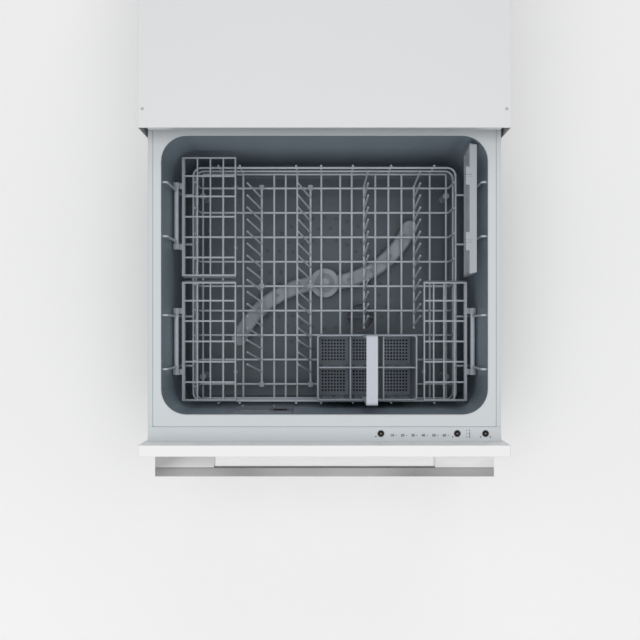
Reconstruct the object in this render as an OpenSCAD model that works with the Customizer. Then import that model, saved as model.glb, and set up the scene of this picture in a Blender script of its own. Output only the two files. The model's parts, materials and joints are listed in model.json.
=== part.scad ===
// Dishwasher drawer: a tub on telescopic runners in a steel chassis, shown pulled open.
// X points right, Y points back into the cabinet, Z up. The feet stand on z = 0.
// Drawer pieces are drawn in the drawer's own frame: y = 0 is the rear face of its door.

/* [Chassis] */
// Overall width over the mounting plates
chassis_w = 599; // [597:1:620]
// Depth from the front edge to the back sheet
chassis_d = 550; // [545:1:600]
// Height from the floor to the top sheet
chassis_h = 410; // [408:1:450]
// Thickness of the folded steel sheet
sheet_t = 1.2; // [0.8:0.1:1.5]
// Thickness of the screw-on mounting plates
plate_t = 2; // [1:0.5:3]
// Hole for a cabinet screw in each mounting plate
mount_hole_d = 5; // [4:0.5:7]
// Height of the gap that the levelling feet leave under the base
foot_h = 12; // [10:1:14]
// Diameter of a levelling foot
foot_d = 40; // [25:1:50]
// Diameter of the threaded foot stem
foot_stem_d = 10; // [6:1:14]
// Height of the lip along the front of the base
base_lip_h = 8; // [4:0.5:8]
// Depth of the recess that the back sheet leaves for the hose ports
back_recess = 14; // [12:1:20]

/* [Tub] */
// How far the drawer is pulled out
open_travel = 505; // [300:5:515]
// Gap between the chassis and the closed door
front_gap = 2; // [1:0.5:6]
// Height of the tub rim above the floor
rim_z = 360; // [358:1:365]
// Space beside the tub opening for the tub wall, the runner and the chassis side
side_space = 30; // [28:0.5:34]
// Depth of the tub opening from front to back
tub_open_d = 460; // [455:1:470]
// Inside height of the tub
tub_depth = 285; // [280:1:288]
// Thickness of the moulded tub wall
tub_wall = 3; // [2:0.5:4]
// Corner radius of the tub opening
tub_corner_r = 42; // [20:1:60]
// Radius between the tub wall and its floor
tub_floor_r = 24; // [8:1:30]
// Width of the rim flange along each side
flange_side = 13.5; // [8:0.5:15]
// Width of the rim flange at front and back
flange_end = 20; // [12:0.5:22]
// Width of the trim strip along each side of the rim
trim_w = 8; // [4:0.5:10]
// Height of the trim strip
trim_h = 16; // [8:1:20]

/* [Door and controls] */
// Width of the door
door_w = 596; // [594:1:612]
// Height of the door
door_h = 398; // [390:1:420]
// Thickness of the door
door_t = 18; // [12:1:30]
// Gap between the floor and the door
door_bottom = 8; // [4:1:12]
// Thickness of the folded door skin
skin_t = 1.2; // [0.8:0.1:2]
// Depth of the control strip behind the door
fascia_d = 25; // [22:0.5:30]
// Height of the control strip
fascia_h = 30; // [24:1:36]
// Wall of the control strip
fascia_wall = 2.5; // [1.5:0.5:3]
// Diameter of the three push buttons
button_d = 10; // [8:0.5:14]
// Travel of a push button
button_travel = 1.5; // [0.5:0.1:2.5]

/* [Handle] */
// Length of the handle bar
handle_l = 558; // [300:2:580]
// How far the handle stands in front of the door
handle_reach = 39; // [30:1:60]
// Depth of the bar from front to back
handle_bar_d = 15; // [8:1:20]
// Height of the bar
handle_h = 20; // [12:1:40]
// Drop from the top of the door to the top of the bar
handle_drop = 45; // [10:1:200]
// Width of the post that carries each end of the bar
post_w = 97; // [40:1:120]
// Diameter of a handle screw
screw_d = 5; // [3:0.5:6]

/* [Runners and lid] */
// Height of a telescopic runner
runner_h = 45; // [35:1:55]
// Length of each runner member
runner_l = 490; // [440:5:492]
// Height of the middle of the runners above the floor
runner_z = 312; // [290:1:315]
// Thickness of the runner steel
runner_t = 1.2; // [0.8:0.1:1.6]
// How far the lid lifts off the rim
lid_lift = 10; // [5:0.5:14]
// Thickness of the lid moulding
lid_t = 8; // [4:0.5:10]
// Height of the lid seal
seal_h = 6; // [3:0.5:8]
// Width of the lid seal
seal_w = 8; // [4:0.5:10]

/* [Wash system] */
// Diameter of the sump under the tub floor
sump_d = 300; // [280:1:320]
// Depth of the sump below the tub floor
sump_depth = 32; // [28:1:34]
// Diameter of the fixed shaft that carries the impeller and the spray arm
shaft_d = 8; // [5:0.5:10]
// Distance from the shaft to the middle of the spray arm tip
arm_reach = 195; // [150:1:205]
// Width of the spray arm blade
arm_w = 30; // [20:1:36]
// Thickness of the spray arm blade
arm_h = 11; // [8:0.5:13]
// Radius of the curve that each blade follows
arm_bend_r = 180; // [140:5:400]
// Diameter of the drain filter cup
filter_d = 54; // [40:1:60]

/* [Wire basket] */
// Diameter of the coated basket wire
wire_d = 4; // [3:0.25:5]
// Space between the tub walls and the side grilles
basket_side_gap = 33.5; // [32:0.5:45]
// Space between the front wall of the tub and the front grille
basket_front_gap = 12; // [12:0.5:20]
// Space between the rear wall of the tub and the back grille
basket_back_gap = 26; // [14:0.5:30]
// Height of the basket floor above the tub floor
basket_lift = 47; // [46:1:52]
// Height of the side grilles
grille_h = 73; // [50:1:80]
// Spacing of the upright wires and of the cross wires
wire_pitch = 46.6; // [40:0.5:60]
// Diameter of a plate tine
tine_d = 3.5; // [2.5:0.25:5]
// Length of a plate tine
tine_l = 75; // [40:1:85]
// Spacing of the plate tines
tine_pitch = 22; // [18:0.5:30]
// Sideways lean of the folding tines
tine_lean = 17; // [5:1:25]
// Sideways lean of the fixed tines
fixed_lean = 3.5; // [0:0.5:6]
// Lean of all tines away from the door
back_lean = 13; // [0:1:15]

/* [Cup racks] */
// Length of a cup rack
rack_l = 217; // [180:1:219]
// Width of a cup rack
rack_w = 96; // [70:1:98]
// Width of the short cup rack over the cutlery
rack_short_w = 77; // [60:1:82]
// Height of the cup rack rim
rack_h = 12; // [8:0.5:14]
// Distance from the rim down to the cup rack hinges
rack_drop = 110; // [108:1:115]
// Angle of a cup rack that is folded up
rack_up = 87; // [80:1:88]
// Diameter of the hinge rods
rod_d = 8; // [5:0.5:8.5]
// Length of each glass rest under the inner edge of a cup rack
rest_l = 30; // [20:1:40]

/* [Cutlery basket] */
// Width of the cutlery basket
cutlery_w = 178; // [140:1:180]
// Length of the cutlery basket
cutlery_l = 117; // [90:1:120]
// Height of the cutlery basket wall
cutlery_h = 114; // [80:1:120]
// Wall of the cutlery basket
cutlery_wall = 2.4; // [1.6:0.2:4]
// Height of the cutlery basket with its handle
cutlery_handle_h = 226; // [150:1:227]
// Width of the strap handle
strap_w = 19; // [12:1:30]
// How far the strap stands to the right of the middle of the cutlery basket
strap_shift = 3; // [0:0.5:6]

/* [Fits] */
// Running clearance between pieces that move on each other
run_gap = 0.3; // [0.2:0.05:0.5]
// Gap between pieces that are fastened side by side
seat_gap = 0.1; // [0.05:0.05:0.2]

/* [Hidden] */
$fn = 48;
cut = 1;

// Places of the drawer and of the whole object
drawer_y = -open_travel - front_gap;
front_y = drawer_y - door_t - handle_reach;
origin_y = -(chassis_d + front_y) / 2;
side_out = chassis_w / 2 - plate_t;
side_in = side_out - sheet_t;
base_top = foot_h + sheet_t;
top_under = chassis_h - sheet_t;
back_y = chassis_d - back_recess;
foot_inset = 25;
foot_x = side_in - foot_inset - 1;
mount_plate_w = 30;
mount_plate_h = 50;

// Ports in the back sheet
port_z = 44;
valve_x = 215;
spigot_x = 140;
gland_x = -215;
valve_port_d = 26.4;
valve_bore_d = 16;
spigot_d = 19;
spigot_wall = 2;
gland_d = 22;
cable_d = 9;
port_collar = 4;
port_collar_out = 1;

// Tub
tub_front_y = fascia_d + flange_end;
tub_mid_y = tub_front_y + tub_open_d / 2;
tub_back_y = tub_front_y + tub_open_d;
tub_open_w = chassis_w - 2 * side_space;
tub_half_w = tub_open_w / 2;
tub_out = tub_half_w + tub_wall;
flange_half_w = tub_half_w + flange_side;
trim_out = flange_half_w + seat_gap + trim_w;
floor_z = rim_z - tub_depth;
under_z = floor_z - tub_wall;

// Runners, counted outwards from the tub wall
runner_pad = 3.5;
runner_x = tub_out + runner_pad;
runner_start = fascia_d + 5;
runner_step = runner_t + 0.4;
runner_middle_half = runner_h / 2 - runner_step;
runner_inner_half = runner_middle_half - runner_step;
runner_outer_x = runner_x + 13;
bracket_l = 24;

// Door, control strip and handle
door_top = door_bottom + door_h;
handle_z = door_top - handle_drop - handle_h;
handle_gap = handle_reach - handle_bar_d;
post_mid_x = (handle_l - post_w) / 2;
frame_x = 215;
screw_pitch = post_w / 2;
screw_head_d = screw_d * 1.8;
screw_head_h = screw_d * 0.6;
fascia_z = rim_z - fascia_h;
button_mid_y = fascia_d * 0.55;
start_x = trim_out - 25.6;
program_x = start_x - 46.5;
power_x = program_x - 126;
button_x = [power_x, program_x, start_x];
button_fit_d = button_d + 2 * run_gap;
button_top_z = rim_z + 0.6;
collar_h = 1.5;
collar_d = button_d + 3;
board_z = rim_z - 22;
board_t = 1.6;
board_w = 16;
board_x0 = power_x - 30;
board_x1 = start_x + 12;
switch_w = 6;
switch_top_z = board_z + board_t + 4.6;
stem_z = switch_top_z + button_travel + run_gap;

// Lid over the closed tub
lid_mid_y = tub_mid_y - front_gap;
lid_w = 2 * flange_half_w - 6;
lid_d = tub_open_d + 2 * flange_end - 6;
lid_r = tub_corner_r / 2;
seal_z = rim_z + run_gap + lid_lift;
lid_z = seal_z + seal_h;
guide_d = 8;
guide_x = 200;
guide_y = 170;
boss_d = 18;
boss_h = 12;
boss_floor = 2;
guide_end_z = lid_z + boss_floor + 3;

// Wash system on the middle axis of the tub
sump_wall = 3;
sump_floor_z = floor_z - sump_depth;
well_d = 92;
well_z = sump_floor_z - 16;
rotor_d = well_d - 2 * sump_wall - 4;
stator_d = 150;
plate_z = floor_z;
filter_plate_t = 2;
collar_out_d = 52;
hub_z = floor_z + 21;
hub_d = 56;
hub_h = 14;
hub_cone_h = 7;
shaft_top_z = hub_z + hub_h + 4;
nozzle_count = 4;
mesh_ring_r = 88;
mesh_ring_step = 21;
mesh_ring_holes = 24;
mesh_hole_d = 7;
arm_sweep = 2 * asin(arm_reach / (2 * arm_bend_r));
filter_at = [70, -65];
cup_depth = 15;
pump_at = [-100, -50];
pump_d = 56;
pump_z = foot_h + base_lip_h + 1;
heater_r = 115;
heater_tube_d = 8;

// Dispenser in the front wall of the tub
disp_x0 = -150;
disp_w = 91;
disp_z = rim_z - 135;
disp_h = 100;
disp_depth = 30;
disp_flange = 2;
disp_door_w = 50;
disp_door_h = 84;
disp_door_t = 3;
hinge_pin_d = 3;
disp_recess = 2;
disp_hinge_y = tub_front_y + disp_flange - disp_recess + 0.4 + disp_door_t / 2;
disp_hinge_z = disp_z + 8;
cap_d = 30;
cap_recess = 3.5;
cap_seat_y = tub_front_y + disp_flange - cap_recess;
cap_x = disp_x0 + disp_w - 17;
cap_z = disp_z + 65;

// Basket levels and places
wire_lap = 0.4;
basket_z = floor_z + basket_lift;
cross_z = basket_z + wire_d - wire_lap;
cross_top = cross_z + wire_d / 2;
grille_top = basket_z + grille_h;
grille_x = tub_half_w - basket_side_gap;
basket_front_y = tub_front_y + basket_front_gap;
basket_back_y = tub_back_y - basket_back_gap;
basket_mid_y = (basket_front_y + basket_back_y) / 2;
edge_wire_x = grille_x - 4;
side_wire_x = grille_x + 4;
basket_foot_d = 12;
tine_axis_z = cross_top + 5.4;
folding_row_x = [-119, -26.5];
fixed_row_x = [75, 170];
long_wire_x = [-194, -155, -96, -74, -52, -6, 30, 52, 97, 122, 147, 201];
upright_x = [-194, -155, -52, -6, 52, 122, 201];
cross_count = floor((basket_back_y - basket_front_y - wire_d) / wire_pitch) + 1;
cross_y0 = basket_mid_y - (cross_count - 1) * wire_pitch / 2;
cross_y1 = cross_y0 + (cross_count - 1) * wire_pitch;
clip_w = 9;
clip_y = [for (y = [cross_y0, cross_y0 + floor(cross_count / 2) * wire_pitch, cross_y1]) y - clip_w / 2];
row_y0 = basket_front_y + 20;
row_y1 = basket_back_y - 20;

// Cup racks and their hinges
hinge_x = tub_half_w - 7.5;
hinge_z = rim_z - rack_drop;
rack_inset = 9;
rack_gap = 4.5;
rack_front_y = tub_front_y + (tub_open_d - 2 * rack_l - rack_gap) / 2;
rack_mid = [rack_front_y + rack_l / 2, rack_front_y + rack_l * 1.5 + rack_gap];
rack_plane = 4.5;
rack_corner_r = 4;
rack_end_slope = 3;
rest_drop = 6;
rod_l = 118;
post_pitch = 90;
knuckle_w = 10;
knuckle_d = 13;
hook_z = rim_z - 15;

// Cutlery basket on the basket floor
cutlery_x = 76;
cutlery_y0 = basket_front_y + 2;
cutlery_mid_y = cutlery_y0 + cutlery_l / 2;
fixed_row_y0 = cutlery_y0 + cutlery_l + 11;
cutlery_z = cross_top + run_gap;
divider_top = cutlery_h - 7;
drain_slot_w = 3;
drain_pitch = 12;
strap_t = 3;
strap_leg = 30;
strap_r = 6;

module in_cabinet() translate([0, origin_y, 0]) children();
module in_drawer() translate([0, origin_y + drawer_y, 0]) children();
module at_wash_axis() in_drawer() translate([0, tub_mid_y, 0]) children();

module on_side(side) {
    if (side < 0) mirror([1, 0, 0]) children();
    else children();
}

// Plane shape with true round corners
module rounded_square(w, d, r) {
    square([w - 2 * r, d], center = true);
    square([w, d - 2 * r], center = true);
    for (x = [r - w / 2, w / 2 - r], y = [r - d / 2, d / 2 - r]) translate([x, y]) circle(r);
}

// A shape drawn in x and z, stretched along y
module along_y(y0, y1) translate([0, y1, 0]) rotate([90, 0, 0]) linear_extrude(y1 - y0) children();

// A shape drawn in y and z, stretched along x
module along_x(x0, x1)
    translate([x0, 0, 0]) rotate([90, 0, 90]) linear_extrude(x1 - x0) children();

// Round bars along each axis, from one end to the other
module wire_x(x0, x1, y, z, d = wire_d)
    translate([x0, y, z]) rotate([0, 90, 0]) cylinder(d = d, h = x1 - x0);

module wire_y(x, y0, y1, z, d = wire_d)
    translate([x, y1, z]) rotate([90, 0, 0]) cylinder(d = d, h = y1 - y0);

module wire_z(x, y, z0, z1, d = wire_d) translate([x, y, z0]) cylinder(d = d, h = z1 - z0);

// ---- Chassis ----

function mount_places() = [for (z = [90, chassis_h - 80]) [30, z]];

module mount_holes(x, l) for (p = mount_places()) wire_x(x, x + l, p[0], p[1], mount_hole_d);

module chassis_side(side) in_cabinet() on_side(side) color("lightgray")
    difference() {
        union() {
            translate([side_in, 0, foot_h]) cube([sheet_t, chassis_d, top_under - foot_h]);
            // inward fold that the top sheet is screwed to
            translate([side_in - 12, 0, top_under - sheet_t])
                cube([12 + sheet_t, back_y - sheet_t - seat_gap, sheet_t]);
        }
        mount_holes(side_in - cut, sheet_t + 2 * cut);
    }

module chassis_side_left() chassis_side(-1);
module chassis_side_right() chassis_side(1);

module chassis_top() in_cabinet() color("gainsboro")
    difference() {
        union() {
            translate([-side_out, 0, top_under]) cube([2 * side_out, chassis_d, sheet_t]);
            // front hem, folded down
            translate([-side_in + 13, 0, top_under - 14])
                cube([2 * side_in - 26, sheet_t, 14 + cut / 2]);
        }
        for (x = [-1, 1], y = [30, chassis_d / 2, chassis_d - 30])
            wire_z(x * (side_in - 6), y, top_under - cut, chassis_h + cut, mount_hole_d);
    }

module foot_places()
    for (x = [-foot_x, foot_x], y = [foot_inset, back_y - foot_inset]) translate([x, y, 0]) children();

module chassis_base() in_cabinet() color("lightgray")
    difference() {
        union() {
            translate([-side_in + seat_gap, 0, foot_h])
                cube([2 * (side_in - seat_gap), back_y - sheet_t - seat_gap, sheet_t]);
            translate([-side_in + seat_gap, 0, foot_h])
                cube([2 * (side_in - seat_gap), sheet_t, base_lip_h]);
        }
        foot_places() cylinder(d = foot_stem_d + 2 * run_gap, h = 2 * foot_h);
    }

module chassis_back() in_cabinet() color("lightgray")
    difference() {
        translate([-side_in + seat_gap, back_y - sheet_t, foot_h])
            cube([2 * (side_in - seat_gap), sheet_t, top_under - foot_h - seat_gap]);
        for (p = [[valve_x, valve_port_d + 2 * port_collar], [spigot_x, spigot_d + 2 * port_collar],
            [gland_x, gland_d]])
            wire_y(p[0], back_y - 2 * sheet_t, back_y + cut, port_z, p[1] + 2 * run_gap);
    }

module mounting_plates() in_cabinet() color("silver")
    for (side = [-1, 1]) on_side(side)
        difference() {
            for (p = mount_places())
                translate([side_out, p[0], p[1]]) rotate([90, 0, 90])
                    linear_extrude(plate_t) rounded_square(mount_plate_w, mount_plate_h, 5);
            mount_holes(side_out - cut, plate_t + 2 * cut);
        }

module levelling_feet() in_cabinet() color("dimgray")
    foot_places() {
        cylinder(d1 = foot_d, d2 = foot_d * 0.9, h = foot_h / 2);
        cylinder(d = foot_stem_d, h = base_top + 16);
        // hexagons to turn the foot with, and the lock nut above the base
        translate([0, 0, foot_h / 2 - cut / 2])
            cylinder(d = foot_stem_d * 1.8, h = foot_h / 2 + cut / 2 - seat_gap, $fn = 6);
        translate([0, 0, base_top + seat_gap])
            cylinder(d = foot_stem_d * 1.8, h = foot_stem_d * 0.6, $fn = 6);
    }

module guide_places()
    for (x = [-guide_x, guide_x], y = [-guide_y, guide_y]) translate([x, lid_mid_y + y, 0]) children();

module lid_guides() in_cabinet() color("dimgray")
    guide_places() {
        translate([0, 0, guide_end_z]) cylinder(d = guide_d, h = top_under - guide_end_z);
        translate([0, 0, top_under - 3]) cylinder(d = 26, h = 3);
    }

// Hose port that stands behind the back sheet, with a collar that fills the hole in the sheet
module hose_port(x, d, bore_d, y0, bore_y0)
    difference() {
        union() {
            wire_y(x, y0, chassis_d, port_z, d);
            wire_y(x, y0, back_y + port_collar_out, port_z, d + 2 * port_collar);
            wire_y(x, back_y - sheet_t - seat_gap - 4, back_y - sheet_t - seat_gap, port_z,
                d + 4 * port_collar);
        }
        wire_y(x, bore_y0, chassis_d + cut, port_z, bore_d);
    }

module inlet_valve() in_cabinet() color("ivory") {
    block_y = back_y - 60;
    block_d = 46;
    block_h = 40;
    translate([valve_x - 22, block_y, base_top]) cube([44, block_d, block_h]);
    hose_port(valve_x, valve_port_d, valve_bore_d, block_y + block_d - cut, back_y);
    // solenoid coils
    for (x = [valve_x - 11, valve_x + 11])
        wire_z(x, block_y + 22, base_top + block_h - cut, base_top + block_h + 14, 18);
}

module drain_spigot() in_cabinet() color("dimgray") {
    block_y = back_y - 44;
    block_d = 20;
    hose_port(spigot_x, spigot_d, spigot_d - 2 * spigot_wall, block_y + block_d - cut, block_y + block_d);
    translate([spigot_x - 12, block_y, base_top]) cube([24, block_d, port_z - base_top + 14]);
}

module cable_gland() in_cabinet() color("black")
    difference() {
        union() {
            wire_y(gland_x, back_y - sheet_t - 8, back_y + 6, port_z, gland_d);
            wire_y(gland_x, back_y - sheet_t - 6, back_y - sheet_t, port_z, gland_d + 8);
        }
        wire_y(gland_x, back_y - 20, back_y + 6 + cut, port_z, cable_d);
    }

// ---- Telescopic runners ----

// Channel with its web between web_x and web_x + runner_t and lips from x0 to x1
module channel(x0, x1, web_x, half_h, y0, y1)
    along_y(y0, y1) {
        translate([web_x, -half_h]) square([runner_t, 2 * half_h]);
        for (z = [-half_h, half_h - runner_t]) translate([x0, z]) square([x1 - x0, runner_t]);
    }

module runner_outer(side) in_cabinet() on_side(side) color("silver")
    difference() {
        translate([0, 0, runner_z]) {
            channel(runner_x + 0.5, runner_outer_x, runner_outer_x - runner_t, runner_h / 2,
                runner_start - front_gap, runner_start - front_gap + runner_l);
            for (y = [20, runner_l / 2 - bracket_l / 2, runner_l - 20 - bracket_l])
                translate([runner_outer_x - runner_t / 2, runner_start + y, -12])
                    cube([side_in - runner_outer_x + runner_t / 2 - seat_gap, bracket_l, 24]);
        }
        for (y = [20, runner_l / 2 - bracket_l / 2, runner_l - 20 - bracket_l])
            wire_x(runner_outer_x - 3, side_in + cut, runner_start + y + bracket_l / 2, runner_z, screw_d);
    }

module runner_middle(side) translate([0, drawer_y / 2 + front_gap / 2, 0]) in_cabinet() on_side(side)
    color("lightsteelblue")
    translate([0, 0, runner_z])
        channel(runner_x + 1.5, runner_x + 10.5, runner_x + 6, runner_middle_half,
            runner_start - front_gap, runner_start - front_gap + runner_l);

module runner_inner(side) in_drawer() on_side(side) color("silver")
    translate([0, 0, runner_z])
        channel(runner_x, runner_x + 5.5, runner_x, runner_inner_half, runner_start, runner_start + runner_l);

module runner_outer_left() runner_outer(-1);
module runner_outer_right() runner_outer(1);
module runner_middle_left() runner_middle(-1);
module runner_middle_right() runner_middle(1);
module runner_inner_left() runner_inner(-1);
module runner_inner_right() runner_inner(1);

// ---- Lid ----

module lid_panel() in_cabinet() color("whitesmoke")
    difference() {
        translate([0, lid_mid_y, lid_z]) union() {
            linear_extrude(lid_t) rounded_square(lid_w, lid_d, lid_r);
            for (x = [-150, 0, 150])
                translate([x - 2, -lid_d / 2 + 20, lid_t - cut]) cube([4, lid_d - 40, 5]);
            for (x = [-guide_x, guide_x], y = [-guide_y, guide_y])
                translate([x, y, cut]) cylinder(d = boss_d, h = lid_t + boss_h - cut);
        }
        guide_places() translate([0, 0, lid_z + boss_floor])
            cylinder(d = guide_d + 2 * run_gap, h = lid_t + boss_h);
    }

module lid_seal() in_cabinet() color("gray")
    translate([0, lid_mid_y, seal_z]) linear_extrude(seal_h - seat_gap)
        difference() {
            rounded_square(lid_w, lid_d, lid_r);
            rounded_square(lid_w - 2 * seal_w, lid_d - 2 * seal_w, lid_r - seal_w);
        }

// ---- Tub and its rim ----

// Outline of a pan corner, turned about its own axis: upright side, round foot, flat floor
function pan_profile(r, foot_r, h) = concat(
    [[0, 0]],
    [for (a = [-90:15:0]) [r - foot_r + foot_r * cos(a), foot_r + foot_r * sin(a)]],
    [[r, h], [0, h]]
);

module pan_form(w, d, h, r, foot_r)
    hull() for (x = [r - w / 2, w / 2 - r], y = [r - d / 2, d / 2 - r])
        translate([x, y, 0]) rotate_extrude($fn = 32) polygon(pan_profile(r, foot_r, h));

module tub() in_drawer() color("silver")
    difference() {
        union() {
            translate([0, tub_mid_y, under_z])
                pan_form(tub_open_w + 2 * tub_wall, tub_open_d + 2 * tub_wall, tub_depth + tub_wall - cut,
                    tub_corner_r + tub_wall, tub_floor_r + tub_wall);
            translate([0, tub_mid_y, rim_z - tub_wall]) linear_extrude(tub_wall)
                rounded_square(2 * flange_half_w, tub_open_d + 2 * flange_end, 8);
            // pads that the inner runner members are screwed to
            for (side = [-1, 1], y = [40, tub_open_d / 2, tub_open_d - 60])
                on_side(side) translate([tub_out - tub_wall / 2, tub_front_y + y, runner_z - 14])
                    cube([runner_pad + tub_wall / 2, 40, 28]);
        }
        translate([0, tub_mid_y, floor_z])
            pan_form(tub_open_w, tub_open_d, tub_depth + cut, tub_corner_r, tub_floor_r);
        translate([0, tub_mid_y, under_z - cut]) cylinder(d = sump_d - 12, h = tub_wall + 2 * cut);
        translate([disp_x0, tub_front_y - tub_wall - cut, disp_z])
            cube([disp_w, tub_wall + 2 * cut, disp_h]);
    }

module side_trims() in_drawer() color("gainsboro")
    for (side = [-1, 1]) on_side(side)
        along_y(fascia_d, tub_back_y + flange_end) {
            translate([flange_half_w + seat_gap, rim_z - tub_wall]) square([trim_w, tub_wall]);
            translate([trim_out - tub_wall, rim_z - trim_h]) square([tub_wall, trim_h]);
        }

// ---- Control strip ----

module control_fascia() in_drawer() color("gainsboro")
    difference() {
        union() {
            difference() {
                translate([-trim_out, seat_gap, fascia_z])
                    cube([2 * trim_out, fascia_d - 2 * seat_gap, fascia_h]);
                translate([-trim_out + fascia_wall, seat_gap + fascia_wall, fascia_z - cut])
                    cube([2 * (trim_out - fascia_wall), fascia_d - 2 * (seat_gap + fascia_wall),
                        fascia_h - fascia_wall + cut]);
            }
            // standoffs that the board is screwed to
            for (x = [power_x - 22, (power_x + program_x) / 2, (program_x + start_x) / 2])
                wire_z(x, button_mid_y, board_z + board_t, rim_z - fascia_wall / 2, 6);
        }
        for (x = button_x) wire_z(x, button_mid_y, rim_z - fascia_wall - cut, rim_z + cut, button_fit_d);
        for (x = button_x)
            wire_z(x, button_mid_y, rim_z - fascia_wall - 6, rim_z - fascia_wall, collar_d + 1);
    }

module control_board() in_drawer() color("darkgreen") {
    translate([board_x0, button_mid_y - board_w / 2, board_z]) cube([board_x1 - board_x0, board_w, board_t]);
    for (x = button_x) translate([x - switch_w / 2, button_mid_y - switch_w / 2, board_z])
        cube([switch_w, switch_w, switch_top_z - board_z]);
    // plug socket under the board
    translate([(board_x0 + board_x1) / 2 - 12, button_mid_y - board_w * 0.375, board_z - 6])
        cube([24, board_w * 0.75, 6 + board_t / 2]);
}

module push_button(x) in_drawer() color([0.2, 0.2, 0.22]) {
    wire_z(x, button_mid_y, rim_z - fascia_wall - 1, button_top_z - 0.5, button_d);
    translate([x, button_mid_y, button_top_z - 0.5]) cylinder(d1 = button_d, d2 = button_d - 1, h = 0.5);
    wire_z(x, button_mid_y, rim_z - fascia_wall - run_gap - collar_h, rim_z - fascia_wall - run_gap,
        collar_d);
    wire_z(x, button_mid_y, stem_z, rim_z - fascia_wall - 1, button_d / 2);
}

module button_power() push_button(power_x);
module button_program() push_button(program_x);
module button_start() push_button(start_x);

// ---- Door ----

module door_panel() in_drawer() color("white")
    difference() {
        translate([0, -door_t, door_bottom + door_h / 2]) rotate([-90, 0, 0])
            linear_extrude(door_t) rounded_square(door_w, door_h, 2);
        translate([-door_w / 2 + skin_t, -door_t + skin_t, door_bottom + skin_t])
            cube([door_w - 2 * skin_t, door_t, door_h - 2 * skin_t]);
        handle_screw_places() wire_y(0, -door_t - cut, -door_t + skin_t + cut, 0, screw_d + 2 * seat_gap);
    }

module door_liner() in_drawer() color("whitesmoke")
    translate([-door_w / 2 + skin_t + seat_gap, -skin_t, door_bottom + skin_t + seat_gap])
        cube([door_w - 2 * (skin_t + seat_gap), skin_t, door_h - 2 * (skin_t + seat_gap)]);

module door_frame() in_drawer() color("silver")
    union() {
        translate([-frame_x - 50, 0, door_bottom + 20])
            cube([2 * frame_x + 100, sheet_t, fascia_z - door_bottom - 40]);
        for (side = [-1, 1]) on_side(side) {
            translate([frame_x, 0, door_bottom + 60])
                cube([sheet_t, tub_front_y - tub_wall - seat_gap, fascia_z - door_bottom - 80]);
            translate([frame_x - 24, tub_front_y - tub_wall - seat_gap - sheet_t, under_z + 40])
                cube([25, sheet_t, 160]);
        }
    }

// ---- Handle ----

module handle_screw_places()
    for (x = [-post_mid_x, post_mid_x], dx = [-screw_pitch / 2, screw_pitch / 2])
        translate([x + dx, 0, handle_z + handle_h / 2]) children();

module handle_bar() in_drawer() color("silver")
    along_x(-handle_l / 2, handle_l / 2)
        translate([-door_t - handle_reach + handle_bar_d / 2, handle_z + handle_h / 2])
            rounded_square(handle_bar_d, handle_h, 1.5);

module handle_posts() in_drawer() color("silver")
    difference() {
        for (side = [-1, 1]) on_side(side)
            along_x(post_mid_x - post_w / 2, post_mid_x + post_w / 2)
                translate([-door_t - handle_gap, handle_z]) square([handle_gap, handle_h]);
        handle_screw_places() wire_y(0, -door_t - 16, -door_t + cut, 0, screw_d + 2 * seat_gap);
    }

module handle_screws() in_drawer() color("dimgray")
    handle_screw_places() {
        wire_y(0, -door_t - 14, -door_t + skin_t + cut / 2, 0, screw_d);
        wire_y(0, -door_t + skin_t + seat_gap, -door_t + skin_t + seat_gap + screw_head_h, 0, screw_head_d);
    }

// ---- Wash system ----

// Curved slot outline of one half of the spray arm
module arm_blade()
    translate([0, arm_bend_r, 0]) rotate([0, 0, -90]) rotate_extrude(angle = arm_sweep, $fn = 96)
        translate([arm_bend_r, 0]) arm_section();

module arm_section() {
    translate([-arm_w / 2 + arm_h / 2, -arm_h / 2]) square([arm_w - arm_h, arm_h]);
    for (x = [-1, 1]) translate([x * (arm_w - arm_h) / 2, 0]) circle(d = arm_h);
}

function blade_point(a) = [arm_bend_r * sin(a), arm_bend_r * (1 - cos(a))];

module nozzle_places()
    for (i = [1:nozzle_count]) translate(blade_point(arm_sweep * i / (nozzle_count + 0.4))) children();

// The two blades are the same piece turned half way round
module both_blades() {
    children();
    rotate([0, 0, 180]) children();
}

module spray_arm() at_wash_axis() color("lightgray")
    translate([0, 0, hub_z]) difference() {
        union() {
            cylinder(d = hub_d, h = hub_h);
            translate([0, 0, hub_h - cut / 2])
                cylinder(d1 = hub_d * 0.7, d2 = shaft_d + 10, h = hub_cone_h + cut / 2);
            both_blades() {
                translate([0, 0, hub_h / 2]) arm_blade();
                translate(blade_point(arm_sweep)) translate([0, 0, (hub_h - arm_h) / 2 + 0.5])
                    cylinder(d = arm_w - 1, h = arm_h - 1);
                nozzle_places() translate([0, 0, hub_h / 2]) cylinder(d1 = 9, d2 = 7, h = arm_h / 2 + 1.6);
            }
        }
        translate([0, 0, -cut]) cylinder(d = shaft_d + 2 * run_gap, h = shaft_top_z - hub_z + cut + run_gap);
        both_blades() nozzle_places() translate([0, 0, hub_h / 2 + 2]) cylinder(d = 2.6, h = arm_h);
    }

module filter_plate() at_wash_axis() color("dimgray")
    difference() {
        union() {
            translate([0, 0, plate_z]) cylinder(d = sump_d + 10, h = filter_plate_t, $fn = 96);
            translate([0, 0, plate_z]) cylinder(d = collar_out_d, h = hub_z - plate_z - 0.5);
        }
        translate([0, 0, plate_z - cut]) cylinder(d = collar_out_d - 5, h = hub_z);
        translate([filter_at[0], filter_at[1], plate_z - cut])
            cylinder(d = filter_d + 2 * run_gap, h = filter_plate_t + 2 * cut);
        for (ring = [0:2], p = mesh_ring(ring))
            if (norm(p - filter_at) > filter_d / 2 + mesh_hole_d)
                translate([p[0], p[1], plate_z - cut])
                    cylinder(d = mesh_hole_d, h = filter_plate_t + 2 * cut, $fn = 24);
    }

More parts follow.
